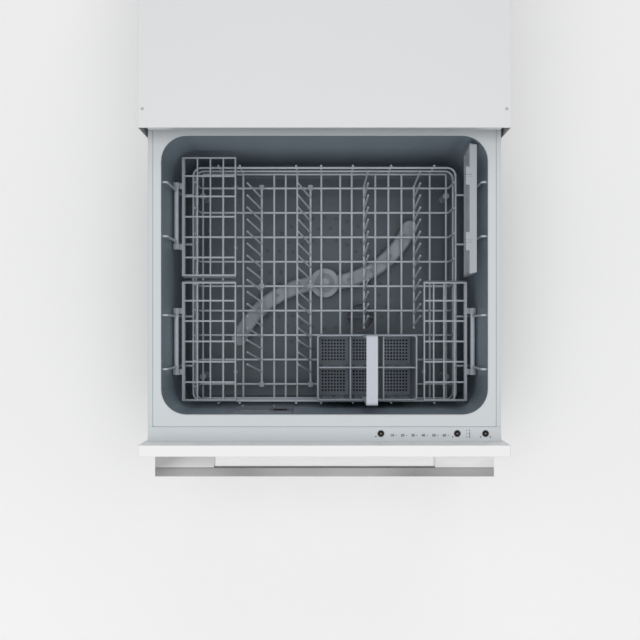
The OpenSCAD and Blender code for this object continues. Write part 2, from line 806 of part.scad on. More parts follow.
// Middles of the drain holes in one ring of the filter plate
function mesh_ring(ring) = let (count = mesh_ring_holes + 6 * ring, r = mesh_ring_r + mesh_ring_step * ring)
    [for (i = [0:count - 1]) [r * cos(i * 360 / count), r * sin(i * 360 / count)]];

module sump_housing() at_wash_axis() color("gray") {
    difference() {
        union() {
            wire_z(0, 0, sump_floor_z - sump_wall, under_z - seat_gap, sump_d);
            wire_z(0, 0, under_z - seat_gap - 3, under_z - seat_gap, sump_d + 24);
            wire_z(0, 0, well_z - sump_wall, sump_floor_z, well_d);
        }
        wire_z(0, 0, sump_floor_z, floor_z, sump_d - 2 * sump_wall);
        wire_z(0, 0, well_z, floor_z, well_d - 2 * sump_wall);
    }
    // fixed shaft of the impeller and the spray arm
    wire_z(0, 0, well_z - cut, shaft_top_z, shaft_d);
}

module motor_stator() at_wash_axis() color("darkgoldenrod")
    translate([0, 0, well_z - 2]) difference() {
        cylinder(d = stator_d, h = sump_floor_z - sump_wall - well_z + 2 - seat_gap);
        translate([0, 0, -cut]) cylinder(d = well_d + 2 * seat_gap, h = 30);
        for (i = [0:11]) rotate([0, 0, i * 30]) translate([stator_d / 2 - 10, -6, -cut]) cube([20, 12, 40]);
    }

module impeller() at_wash_axis() color("slategray")
    difference() {
        union() {
            wire_z(0, 0, well_z + run_gap, sump_floor_z + 3, rotor_d);
            for (i = [0:5]) rotate([0, 0, i * 60]) translate([-1.5, shaft_d, sump_floor_z + 2])
                rotate([0, 0, -18]) cube([3, rotor_d / 2 - 14, 12]);
            wire_z(0, 0, sump_floor_z + 2, sump_floor_z + 18, shaft_d + 10);
        }
        wire_z(0, 0, well_z - cut, sump_floor_z + 30, shaft_d + 2 * run_gap);
    }

module heater_element() at_wash_axis() color("silver")
    translate([0, 0, sump_floor_z + seat_gap + heater_tube_d / 2]) {
        rotate([0, 0, 110]) rotate_extrude(angle = 320) translate([heater_r, 0]) circle(d = heater_tube_d);
        for (a = [110, 70]) rotate([0, 0, a]) translate([heater_r, 0, -heater_tube_d / 2])
            cylinder(d = heater_tube_d, h = heater_tube_d / 2);
    }

module drain_pump() at_wash_axis() color("dimgray")
    translate([pump_at[0], pump_at[1], pump_z]) {
        cylinder(d = pump_d, h = sump_floor_z - sump_wall - pump_z - seat_gap);
        // outlet of the pump
        translate([-pump_d / 2 - 18, 0, 8.5]) rotate([0, 90, 0]) cylinder(d = 15, h = 30);
    }

module drain_filter() at_wash_axis() color("slategray")
    translate([filter_at[0], filter_at[1], 0]) {
        difference() {
            union() {
                wire_z(0, 0, plate_z - cup_depth, plate_z + filter_plate_t + 3, filter_d);
                wire_z(0, 0, plate_z + filter_plate_t + run_gap, plate_z + filter_plate_t + 3, filter_d + 8);
            }
            wire_z(0, 0, plate_z - cup_depth + 2, plate_z + 20, filter_d - 4);
        }
        translate([-filter_d / 2 + 1, -2, plate_z + filter_plate_t - 2]) cube([filter_d - 2, 4, 14]);
    }

// ---- Dispenser ----

module dispenser_body() in_drawer() color("gainsboro")
    difference() {
        union() {
            translate([disp_x0 + seat_gap, tub_front_y - disp_depth, disp_z + seat_gap])
                cube([disp_w - 2 * seat_gap, disp_depth + cut, disp_h - 2 * seat_gap]);
            translate([disp_x0 - 4, tub_front_y + seat_gap, disp_z - 4])
                cube([disp_w + 8, disp_flange - seat_gap, disp_h + 8]);
            // lugs that hold the hinge pin of the door
            for (x = [disp_x0 + 2, disp_x0 + 8 + disp_door_w])
                translate([x, tub_front_y + disp_flange - cut / 2, disp_hinge_z - 3.5])
                    cube([4, disp_door_t + 1 + cut / 2, 7]);
        }
        translate([disp_x0 + 10, tub_front_y - disp_depth + 3, disp_hinge_z + 8])
            cube([disp_door_w - 8, disp_depth + 10, disp_door_h - 16]);
        // recesses that the door and the cap lie in, clear of the basket when it is lifted
        translate([disp_x0 + 7 - run_gap, tub_front_y + disp_flange - disp_recess, disp_hinge_z - 2])
            cube([disp_door_w + 2 * run_gap, disp_recess + cut, disp_door_h + 2 + run_gap]);
        wire_y(cap_x, cap_seat_y, tub_front_y + 5, cap_z, cap_d + 2 * run_gap);
        wire_y(cap_x, tub_front_y - 12, tub_front_y + 5, cap_z, cap_d - 8);
        wire_x(disp_x0 + 1, disp_x0 + disp_door_w + 13, disp_hinge_y, disp_hinge_z,
            hinge_pin_d + 2 * seat_gap);
    }

module dispenser_door() in_drawer() color("lightgray") {
    translate([disp_x0 + 7, disp_hinge_y - disp_door_t / 2, disp_hinge_z])
        cube([disp_door_w, disp_door_t, disp_door_h]);
    wire_x(disp_x0 + 2, disp_x0 + disp_door_w + 12, disp_hinge_y, disp_hinge_z, hinge_pin_d);
}

module rinse_aid_cap() in_drawer() color("lightsteelblue") {
    wire_y(cap_x, cap_seat_y + run_gap, cap_seat_y + 3, cap_z, cap_d);
    wire_y(cap_x, tub_front_y - 8, cap_seat_y + 1, cap_z, cap_d - 8 - 2 * run_gap);
    // rib to turn the cap with
    translate([cap_x - cap_d / 2 + 4, cap_seat_y + 2, cap_z - 1.5]) cube([cap_d - 8, 3, 3]);
}

// ---- Wire basket ----

module cross_wires() for (i = [0:cross_count - 1])
    wire_x(-grille_x, grille_x, cross_y0 + i * wire_pitch, cross_z);

module basket_floor() in_drawer() color("gray") {
    cross_wires();
    for (x = concat([-edge_wire_x], long_wire_x, [edge_wire_x]))
        wire_y(x, basket_front_y, basket_back_y, basket_z);
}

// Feet with a groove that each snap on an edge wire and stand on the tub floor
module basket_feet() in_drawer() color("darkgray")
    for (x = [-edge_wire_x, edge_wire_x], y = [cross_y0 + 14, cross_y1 - 14])
        difference() {
            union() {
                wire_z(x, y, floor_z + run_gap, basket_z, basket_foot_d);
                wire_z(x, y, floor_z + run_gap, floor_z + run_gap + 3, basket_foot_d + 2);
            }
            wire_y(x, y - basket_foot_d, y + basket_foot_d, basket_z, wire_d + 2 * seat_gap);
        }

// Grille drawn at y, with its uprights on the side that out points to
module end_grille(y, out) {
    for (z = [basket_z, (grille_top + basket_z) / 2, grille_top]) wire_x(-grille_x, grille_x, y, z);
    for (x = upright_x) wire_z(x, y + out * (wire_d - wire_lap), basket_z - wire_d / 2, grille_top);
}

module basket_front() in_drawer() color("gray") end_grille(basket_front_y - wire_d / 2 - seat_gap, -1);
module basket_back() in_drawer() color("gray") end_grille(basket_back_y + wire_d / 2 + seat_gap, 1);

module side_grille(side) in_drawer() on_side(side) color("gray") {
    for (z = [grille_top, (grille_top + cross_top) / 2])
        wire_y(side_wire_x, basket_front_y, basket_back_y, z);
    for (i = [0:cross_count - 1])
        wire_z(side_wire_x - wire_d + wire_lap, cross_y0 + i * wire_pitch, cross_top + seat_gap, grille_top);
}

module basket_left() side_grille(-1);
module basket_right() side_grille(1);

function row_count(y0, y1) = floor((y1 - y0) / tine_pitch);

module tine() rotate([-back_lean, 0, 0]) cylinder(d = tine_d, h = tine_l);

// Tines that stand on a base wire and keep the plates apart
module plate_tines() in_drawer() color("gray")
    for (x = fixed_row_x) translate([x, 0, cross_top + seat_gap + wire_d / 2]) {
        wire_y(0, fixed_row_y0, row_y1, 0);
        for (i = [0:row_count(fixed_row_y0, row_y1)])
            translate([0, fixed_row_y0 + 6 + i * tine_pitch, 0]) rotate([0, fixed_lean, 0]) tine();
    }

module tine_clips() in_drawer() color("darkgray")
    difference() {
        for (x = folding_row_x, y = clip_y)
            translate([x - clip_w / 2, y, cross_top + seat_gap])
                cube([clip_w, clip_w, tine_axis_z - cross_top + wire_d]);
        for (x = folding_row_x)
            wire_y(x, basket_front_y, basket_back_y, tine_axis_z, wire_d + 2 * run_gap);
    }

// Leaning tines on a base wire that turns in its clips
module tine_row(x) in_drawer() color("gray")
    translate([x, 0, tine_axis_z]) rotate([0, -tine_lean, 0]) {
        wire_y(0, clip_y[0] - 1, clip_y[2] + clip_w + 1, 0);
        for (i = [0:row_count(row_y0, row_y1)]) let (y = row_y0 + 6 + i * tine_pitch)
            if (clip_distance(y) > clip_w / 2 + tine_d / 2 + 1.5 && y < clip_y[2])
                translate([0, y, 0]) tine();
    }

// Distance from y to the middle of the nearest clip
function clip_distance(y) = min([for (c = clip_y) abs(y - c - clip_w / 2)]);

module tine_row_left() tine_row(folding_row_x[0]);
module tine_row_centre() tine_row(folding_row_x[1]);

// ---- Cup racks ----

module rack_support(mid_y) {
    wire_y(hinge_x, mid_y - rod_l / 2, mid_y + rod_l / 2, hinge_z, rod_d);
    for (y = [mid_y - post_pitch / 2, mid_y + post_pitch / 2]) {
        wire_z(hinge_x, y, grille_top + wire_d + seat_gap - wire_d / 2, hook_z);
        wire_x(side_wire_x - wire_d / 2, hinge_x + wire_d / 2, y, grille_top + wire_d + seat_gap);
        // hook that steadies the post against the tub wall
        wire_x(hinge_x - wire_d / 2, tub_half_w - run_gap, y, hook_z);
    }
}

module rack_supports() in_drawer() color("gray")
    for (side = [-1, 1], y = rack_mid) on_side(side) rack_support(y);

// Tray outline with ends that slope in, clear of the round tub corner when folded up
module rack_block(x0, w, l, z0, z1, r) {
    low_y = l / 2;
    top_y = low_y - rack_end_slope;
    intersection() {
        translate([x0 + w / 2, 0, z0]) linear_extrude(z1 - z0) rounded_square(w, l, r);
        along_x(x0 - cut, x0 + w + cut) translate([0, -rack_plane - rack_h])
            polygon([[-low_y, -2 * cut], [low_y, -2 * cut], [low_y, 0], [top_y, rack_h],
                [top_y, rack_h + 2 * cut], [-top_y, rack_h + 2 * cut], [-top_y, rack_h], [-low_y, 0]]);
    }
}

// Rest for a glass stem under the inner edge of a rack, bowed out in the middle
module glass_rest(x, y, low_z)
    translate([x, y, 0]) {
        translate([-2.5, -rest_l / 2, low_z - rest_drop]) cube([2.5, rest_l, rest_drop + 3]);
        translate([-1.5, 0, low_z - rest_drop]) cylinder(d = 6, h = rest_drop + 3);
    }

// Grid tray drawn from its hinge axis: x runs inwards, the tray hangs below the axis
module cup_rack(w) {
    y0 = -rack_l / 2;
    low_z = -rack_plane - rack_h;
    difference() {
        union() {
            difference() {
                rack_block(rack_inset, w, rack_l, low_z, -rack_plane, rack_corner_r);
                rack_block(rack_inset + 5, w - 7.5, rack_l - 6, low_z - cut, -rack_plane + cut,
                    rack_corner_r - 3);
            }
            intersection() {
                union() {
                    for (i = [1:3]) translate([rack_inset + 3 + i * (w - 4) / 4, y0, low_z + 1])
                        cube([2.4, rack_l, rack_h - 3]);
                    for (i = [1:5]) translate([rack_inset + 1, y0 + i * rack_l / 6 - 1.5, -rack_plane - 6])
                        cube([w - 2, 3, 4]);
                }
                rack_block(rack_inset + 1, w - 2, rack_l - 2, low_z, -rack_plane, rack_corner_r - 1);
            }
            for (y = [-rack_l / 4, rack_l / 4]) glass_rest(rack_inset + w, y, low_z);
            for (side = [-1, 1]) translate([0, side * (rod_l / 2 - knuckle_w / 2), 0]) {
                wire_y(0, -knuckle_w / 2, knuckle_w / 2, 0, knuckle_d);
                translate([2, -knuckle_w / 2, -rack_plane - 4]) cube([rack_inset, knuckle_w, 4]);
            }
        }
        for (side = [-1, 1]) translate([0, side * (rod_l / 2 - knuckle_w / 2), 0])
            wire_y(0, -knuckle_w, knuckle_w, 0, rod_d + 2 * run_gap);
        // scallops that lighten the fins
        for (i = [0:5])
            wire_x(rack_inset + 8, rack_inset + w - 5, y0 + (i + 0.5) * rack_l / 6, low_z - 3, 16);
    }
}

module placed_rack(side, mid_y, w, up) in_drawer() color("lightgray") on_side(-side)
    translate([-hinge_x, mid_y, hinge_z]) rotate([0, -up, 0]) cup_rack(w);

module cup_rack_left_front() placed_rack(-1, rack_mid[0], rack_w, 0);
module cup_rack_left_rear() placed_rack(-1, rack_mid[1], rack_w, 0);
module cup_rack_right_front() placed_rack(1, rack_mid[0], rack_short_w, 0);
module cup_rack_right_rear() placed_rack(1, rack_mid[1], rack_w, rack_up);

// ---- Cutlery basket ----

// Two rows of three cells, with slots in the walls and the floor to let the water through
module cutlery_basket() in_drawer() color("lightgray")
    translate([cutlery_x, cutlery_mid_y, cutlery_z]) difference() {
        union() {
            difference() {
                linear_extrude(cutlery_h) rounded_square(cutlery_w, cutlery_l, 6);
                translate([0, 0, cutlery_wall]) linear_extrude(cutlery_h)
                    rounded_square(cutlery_w - 2 * cutlery_wall, cutlery_l - 2 * cutlery_wall, 4);
            }
            for (x = [-1, 1]) translate([x * cutlery_w / 6 - cutlery_wall / 2, -cutlery_l / 2 + 1, 1])
                cube([cutlery_wall, cutlery_l - 2, divider_top - 1]);
            translate([-cutlery_w / 2 + 1, -cutlery_wall / 2, 1])
                cube([cutlery_w - 2, cutlery_wall, divider_top - 1]);
        }
        cell_places() {
            for (x = [-1, 1]) translate([x * 12 - 8, -cutlery_l / 2, 16]) cube([16, cutlery_l, 78]);
            for (x = [-drain_pitch:drain_pitch:drain_pitch]) translate([x - drain_slot_w / 2, -18, -cut])
                cube([drain_slot_w, 36, cutlery_wall + 2 * cut]);
        }
    }

module cell_places()
    for (i = [-1:1], j = [-1, 1]) translate([i * cutlery_w / 3, j * cutlery_l / 4, 0]) children();

// Arch of the strap, drawn in y and z: shoulders that rest on the walls and legs that reach down inside
module strap_arch() {
    rest_z = cutlery_h + seat_gap;
    leg_y = cutlery_l / 2 - cutlery_wall - seat_gap;
    difference() {
        union() {
            translate([-cutlery_l / 2, rest_z]) square([cutlery_l, cutlery_handle_h - strap_r - rest_z]);
            translate([strap_r - cutlery_l / 2, rest_z])
                square([cutlery_l - 2 * strap_r, cutlery_handle_h - rest_z]);
            for (y = [strap_r - cutlery_l / 2, cutlery_l / 2 - strap_r])
                translate([y, cutlery_handle_h - strap_r]) circle(strap_r);
        }
        translate([strap_t - leg_y, rest_z - cut])
            square([2 * (leg_y - strap_t), cutlery_handle_h - strap_t - rest_z + cut]);
    }
    for (y = [-leg_y, leg_y - strap_t])
        translate([y, cutlery_h - strap_leg]) square([strap_t, strap_leg + cut]);
}

module cutlery_handle() in_drawer() color("lavender")
    translate([cutlery_x + strap_shift, cutlery_mid_y, cutlery_z])
        along_x(-strap_w / 2, strap_w / 2) strap_arch();

chassis_side_left();
chassis_side_right();
chassis_top();
chassis_base();
chassis_back();
mounting_plates();
levelling_feet();
lid_guides();
inlet_valve();
drain_spigot();
cable_gland();
runner_outer_left();
runner_outer_right();
runner_middle_left();
runner_middle_right();
runner_inner_left();
runner_inner_right();
lid_panel();
lid_seal();
tub();
side_trims();
control_fascia();
control_board();
door_panel();
door_liner();
door_frame();
handle_bar();
handle_posts();
handle_screws();
button_power();
button_program();
button_start();
filter_plate();
sump_housing();
motor_stator();
impeller();
spray_arm();
heater_element();
drain_pump();
drain_filter();
dispenser_body();
dispenser_door();
rinse_aid_cap();
basket_floor();
basket_feet();
basket_front();
basket_back();
basket_left();
basket_right();
plate_tines();
tine_clips();
rack_supports();
tine_row_left();
tine_row_centre();
cup_rack_left_front();
cup_rack_left_rear();
cup_rack_right_front();
cup_rack_right_rear();
cutlery_basket();
cutlery_handle();
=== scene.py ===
"""Looks of the dishwasher drawer: finishes, bent wires, fasteners, control marks, light and camera."""

import json
from itertools import product
from math import cos, pi, radians, sin

import bmesh
import bpy
from mathutils import Matrix, Vector

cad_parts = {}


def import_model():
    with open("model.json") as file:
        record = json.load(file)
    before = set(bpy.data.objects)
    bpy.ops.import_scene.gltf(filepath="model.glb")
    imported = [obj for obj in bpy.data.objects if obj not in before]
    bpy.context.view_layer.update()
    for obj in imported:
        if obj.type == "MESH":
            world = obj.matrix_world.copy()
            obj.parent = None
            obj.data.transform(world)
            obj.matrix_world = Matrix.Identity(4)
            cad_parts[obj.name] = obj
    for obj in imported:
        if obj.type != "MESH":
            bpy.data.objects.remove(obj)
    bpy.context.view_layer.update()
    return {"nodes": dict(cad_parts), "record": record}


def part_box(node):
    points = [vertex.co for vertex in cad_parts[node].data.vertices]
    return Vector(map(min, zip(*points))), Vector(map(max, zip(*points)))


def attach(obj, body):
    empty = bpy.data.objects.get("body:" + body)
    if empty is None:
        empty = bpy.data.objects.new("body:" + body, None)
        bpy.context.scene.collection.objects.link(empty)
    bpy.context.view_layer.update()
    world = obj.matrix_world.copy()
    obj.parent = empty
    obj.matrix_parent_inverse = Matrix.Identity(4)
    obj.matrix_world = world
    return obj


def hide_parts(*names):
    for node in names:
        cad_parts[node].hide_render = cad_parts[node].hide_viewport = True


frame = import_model()
nodes = frame["nodes"]

# ---- Places worked out from the frame ----

# Named sizes are in millimetres, unless MM has already turned them into Blender's metres.
MM = 0.001
UP = Vector((0, 0, 1))
DRAWER_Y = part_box("door_panel")[1].y
CABINET_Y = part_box("chassis_top")[0].y
tub_floor_z, rim_z = (corner.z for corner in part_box("tub"))
RIM_Z = rim_z / MM


def in_drawer(x, y, z):
    """A place in millimetres from the rear face of the door, in the row frame."""
    return Vector((x * MM, DRAWER_Y + y * MM, z * MM))


def in_cabinet(x, y, z):
    """A place in millimetres from the front edge of the chassis, in the row frame."""
    return Vector((x * MM, CABINET_Y + y * MM, z * MM))


def box_from(node, origin_y):
    """Both corners of a node's box in millimetres, rounded to a tenth, with y from that origin."""
    origin = Vector((0, origin_y, 0))
    return [tuple(round(c / MM, 1) for c in corner - origin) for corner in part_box(node)]


def drawer_box(node):
    """A node's box, measured as in_drawer measures."""
    return box_from(node, DRAWER_Y)


def cabinet_box(node):
    """A node's box, measured as in_cabinet measures."""
    return box_from(node, CABINET_Y)


def centre(box):
    """Middle of a box, as (x, y, z)."""
    return tuple((low + high) / 2 for low, high in zip(*box))


TUB_MIDDLE_Y = centre(drawer_box("tub"))[1]


# ---- Node helpers for materials ----


class Shader:
    """One node material: a Principled shader with object coordinates at hand."""

    def __init__(self, name, base, rough, metallic=0.0, specular=0.5):
        self.material = bpy.data.materials.new(name)
        self.material.use_nodes = True
        self.tree = self.material.node_tree
        self.bsdf = self.tree.nodes["Principled BSDF"]
        self.bsdf.inputs["Base Color"].default_value = (*base, 1)
        self.bsdf.inputs["Roughness"].default_value = rough
        self.bsdf.inputs["Metallic"].default_value = metallic
        self.bsdf.inputs["Specular IOR Level"].default_value = specular
        self.base = base
        self.coords = self.node("ShaderNodeTexCoord").outputs["Object"]
        self.normal = None

    def node(self, kind, **values):
        """A new node, with each value set on its socket or its property."""
        made = self.tree.nodes.new(kind)
        for key, value in values.items():
            if key in made.inputs:
                made.inputs[key].default_value = value
            else:
                setattr(made, key, value)
        return made

    def link(self, a, b):
        self.tree.links.new(a, b)

    def stretched(self, scale):
        mapping = self.node("ShaderNodeMapping")
        mapping.inputs["Scale"].default_value = scale
        self.link(self.coords, mapping.inputs["Vector"])
        return mapping.outputs["Vector"]

    def noise(self, scale, detail=3.0, stretch=None, roughness=0.5):
        made = self.node("ShaderNodeTexNoise", Scale=scale, Detail=detail, Roughness=roughness)
        self.link(self.stretched(stretch) if stretch else self.coords, made.inputs["Vector"])
        return made.outputs["Fac"]

    def axis(self, name):
        split = self.node("ShaderNodeSeparateXYZ")
        self.link(self.coords, split.inputs["Vector"])
        return split.outputs[name]

    def ramp(self, value, low, high, at=(0.0, 1.0)):
        """Goes from low to high while the value goes across the range at."""
        made = self.node("ShaderNodeMapRange")
        made.inputs["From Min"].default_value = at[0]
        made.inputs["From Max"].default_value = at[1]
        made.inputs["To Min"].default_value = low
        made.inputs["To Max"].default_value = high
        self.link(value, made.inputs["Value"])
        return made.outputs["Result"]

    def mix(self, factor, a, b):
        made = self.node("ShaderNodeMix", data_type="RGBA")
        self.link(factor, made.inputs["Factor"])
        for value, slot in ((a, 6), (b, 7)):
            if isinstance(value, tuple):
                made.inputs[slot].default_value = (*value, 1)
            else:
                self.link(value, made.inputs[slot])
        return made.outputs[2]

    def tone(self, factor, spread):
        """Base colour that wanders by spread either side."""
        dark = tuple(c * (1 - spread) for c in self.base)
        light = tuple(min(1.0, c * (1 + spread)) for c in self.base)
        return self.mix(factor, dark, light)

    def colour(self, socket):
        self.link(socket, self.bsdf.inputs["Base Color"])
        return socket

    def roughness(self, value, low, high, at=(0.3, 0.7)):
        self.link(self.ramp(value, low, high, at), self.bsdf.inputs["Roughness"])

    def bump(self, height, strength, distance):
        made = self.node("ShaderNodeBump", Strength=strength, Distance=distance)
        self.link(height, made.inputs["Height"])
        if self.normal:
            self.link(self.normal, made.inputs["Normal"])
        self.normal = made.outputs["Normal"]
        self.link(self.normal, self.bsdf.inputs["Normal"])

    def soft_edges(self, radius):
        made = self.node("ShaderNodeBevel", samples=4, Radius=radius)
        self.normal = made.outputs["Normal"]
        self.link(self.normal, self.bsdf.inputs["Normal"])

    def edge_wear(self, radius, light):
        """Paler along worn edges: where the rounded normal leaves the true one."""
        bevel = self.node("ShaderNodeBevel", samples=4, Radius=radius)
        geometry = self.node("ShaderNodeNewGeometry")
        dot = self.node("ShaderNodeVectorMath", operation="DOT_PRODUCT")
        self.link(bevel.outputs["Normal"], dot.inputs[0])
        self.link(geometry.outputs["Normal"], dot.inputs[1])
        mask = self.ramp(dot.outputs["Value"], 1.0, 0.0, (0.75, 0.995))
        self.colour(self.mix(mask, self.current, light))

    @property
    def current(self):
        """What now feeds the base colour: a socket or a plain colour."""
        links = self.bsdf.inputs["Base Color"].links
        return links[0].from_socket if links else self.base


def moulded(name, base, rough=0.42, spread=0.035, edge=0.0006, specular=0.45):
    """Moulded plastic: fine spark grain, faint flow clouds and softened edges."""
    s = Shader(name, base, rough, specular=specular)
    s.soft_edges(edge)
    s.colour(s.tone(s.noise(7.0, 3.0), spread))
    s.roughness(s.noise(14.0, 2.0), rough - 0.04, rough + 0.05)
    s.bump(s.noise(900.0, 2.0), 0.15, 0.00003)
    return s.material


def enamelled(name, base, rough=0.28):
    """Painted sheet: an even, smooth coat whose shade wanders slightly."""
    s = Shader(name, base, rough, specular=0.5)
    s.bsdf.inputs["Coat Weight"].default_value = 0.25
    s.bsdf.inputs["Coat Roughness"].default_value = 0.12
    s.soft_edges(0.0012)
    s.colour(s.tone(s.noise(3.0, 2.0), 0.012))
    return s.material


def brushed(name, base, along, rough=0.30, metallic=1.0):
    """Brushed metal: long scratches along one axis, broken by slow clouds."""
    stretch = {"x": (1, 60, 60), "y": (60, 1, 60), "z": (60, 60, 1)}[along]
    s = Shader(name, base, rough, metallic)
    s.bsdf.inputs["Anisotropic"].default_value = 0.5
    s.soft_edges(0.0006)
    lines = s.noise(18.0, 6.0, stretch, 0.65)
    s.colour(s.mix(s.noise(4.0, 2.0), s.tone(lines, 0.16), s.base))
    s.roughness(lines, rough - 0.08, rough + 0.12)
    s.bump(lines, 0.25, 0.00002)
    s.edge_wear(0.0006, tuple(min(1.0, c * 1.25) for c in base))
    return s.material


def handle_finish(name, base, inner_face_shade):
    """Brushed stainless bar: fine lengthwise scratches, broad soft clouds of painted reflection, and painted
    shade on the inner face.
    """
    s = Shader(name, base, 0.34, metallic=1.0)
    s.bsdf.inputs["Anisotropic"].default_value = 0.6
    s.soft_edges(0.0007)
    lines = s.noise(26.0, 7.0, (1, 70, 70), 0.7)
    # Painted reflection: broad clouds switch the scratches between darker and lighter copies of the steel
    # colour.
    clouds = s.ramp(s.noise(5.0, 1.0, (1, 2.2, 1)), 0.0, 1.0, (0.38, 0.62))
    shares = (0.60, 0.78, 1.20, 1.45)
    darkest, dark, light, lightest = (tuple(c * share for c in base) for share in shares)
    s.colour(s.mix(clouds, s.mix(lines, darkest, dark), s.mix(lines, light, lightest)))
    s.roughness(lines, 0.24, 0.46)
    s.bump(lines, 0.3, 0.00002)
    s.edge_wear(0.0006, tuple(min(1.0, c * 1.3) for c in base))
    # Painted shade: faces turned towards the door take the dark colour in place of the brushed one.
    geometry = s.node("ShaderNodeNewGeometry")
    facing = s.node("ShaderNodeSeparateXYZ")
    s.link(geometry.outputs["True Normal"], facing.inputs["Vector"])
    inner = s.ramp(facing.outputs["Y"], 0.0, 1.0, (0.5, 0.7))
    s.colour(s.mix(inner, s.current, inner_face_shade))
    return s.material


def woven(name, base, pitch):
    """Fine wire mesh: two sets of wires at right angles, dark between."""
    s = Shader(name, base, 0.45, metallic=0.6)
    waves_per_unit = pi / 10
    wires = []
    for direction in ("X", "Y"):
        waves = s.node("ShaderNodeTexWave", Scale=waves_per_unit / pitch, bands_direction=direction)
        s.link(s.coords, waves.inputs["Vector"])
        wires.append(waves.outputs["Fac"])
    crossing = s.node("ShaderNodeMath", operation="MAXIMUM")
    for wave, socket in zip(wires, crossing.inputs):
        s.link(wave, socket)
    weave = crossing.outputs[0]
    between = tuple(c * 0.25 for c in base)
    s.colour(s.mix(s.ramp(weave, 0.0, 1.0, (0.55, 0.85)), between, base))
    s.bump(weave, 0.5, 0.0001)
    return s.material


def galvanised(name, base, rough=0.42):
    """Zinc-coated sheet: angular spangles of slightly different grey."""
    s = Shader(name, base, rough, metallic=0.35)
    s.soft_edges(0.0005)
    cells = s.node("ShaderNodeTexVoronoi", Scale=70.0)
    s.link(s.coords, cells.inputs["Vector"])
    grey = s.node("ShaderNodeRGBToBW")
    s.link(cells.outputs["Color"], grey.inputs["Color"])
    strong, faint = (s.tone(grey.outputs["Val"], spread) for spread in (0.12, 0.05))
    s.colour(s.mix(s.noise(5.0, 3.0), strong, faint))
    s.roughness(grey.outputs["Val"], rough - 0.06, rough + 0.08, (0.0, 1.0))
    s.bump(s.noise(150.0, 3.0), 0.15, 0.00003)
    return s.material


def coated(name, base):
    """Nylon-coated wire: a thick, slightly uneven skin."""
    s = Shader(name, base, 0.33, specular=0.5)
    s.bsdf.inputs["Subsurface Weight"].default_value = 0.05
    s.bsdf.inputs["Subsurface Radius"].default_value = (0.001, 0.001, 0.001)
    s.colour(s.tone(s.noise(22.0, 3.0), 0.05))
    s.roughness(s.noise(120.0, 3.0), 0.26, 0.41)
    s.bump(s.noise(260.0, 3.0), 0.3, 0.00006)
    return s.material


def rubbery(name, base):
    """Seal rubber: matt, with a fine irregular grain."""
    s = Shader(name, base, 0.62, specular=0.3)
    s.soft_edges(0.0008)
    s.colour(s.tone(s.noise(25.0, 3.0), 0.08))
    s.roughness(s.noise(200.0, 3.0), 0.54, 0.72)
    s.bump(s.noise(700.0, 2.0), 0.4, 0.00004)
    return s.material


def laminated(name, base):
    """Stack of motor plates: fine level lines with a copper tint between."""
    s = Shader(name, base, 0.5, metallic=0.7)
    s.soft_edges(0.0004)
    bands = s.node("ShaderNodeTexWave", Scale=900.0, bands_direction="Z", Distortion=0.4)
    s.link(s.coords, bands.inputs["Vector"])
    s.colour(s.mix(bands.outputs["Fac"], s.base, (0.42, 0.23, 0.12)))
    s.bump(bands.outputs["Fac"], 0.4, 0.0001)
    s.roughness(s.noise(60.0), 0.4, 0.6)
    return s.material


def circuit(name, base):
    """Circuit board: lacquer with slightly raised, paler tracks."""
    s = Shader(name, base, 0.35)
    cells = s.node("ShaderNodeTexVoronoi", Scale=260.0, distance="MANHATTAN")
    s.link(s.coords, cells.inputs["Vector"])
    tracks = s.ramp(cells.outputs["Distance"], 0.0, 1.0, (0.25, 0.35))
    s.colour(s.mix(tracks, s.base, tuple(c * 1.6 for c in base)))
    s.bump(tracks, 0.4, 0.00005)
    s.roughness(s.noise(90.0), 0.25, 0.45)
    return s.material


def tub_finish(name, base, floor_shade, rim):
    """Tub moulding: satin walls, darker than the pale rim flange partly as painted shade, with painted shade
    that deepens towards the floor.
    """
    s = Shader(name, base, 0.30, specular=0.55)
    height = s.axis("Z")
    # Painted shade: up to 190 mm above the tub floor the walls blend into the dark colour, fully so at 20 mm.
    painted_shade_mask = s.ramp(height, 0.0, 1.0, (tub_floor_z + 0.02, tub_floor_z + 0.19))
    walls = s.mix(painted_shade_mask, floor_shade, s.tone(s.noise(5.0, 3.0), 0.04))
    on_the_rim = s.ramp(height, 0.0, 1.0, (rim_z - 0.0030, rim_z - 0.0012))
    s.colour(s.mix(on_the_rim, walls, rim))
    s.roughness(s.noise(9.0, 2.0), 0.28, 0.34)
    return s.material


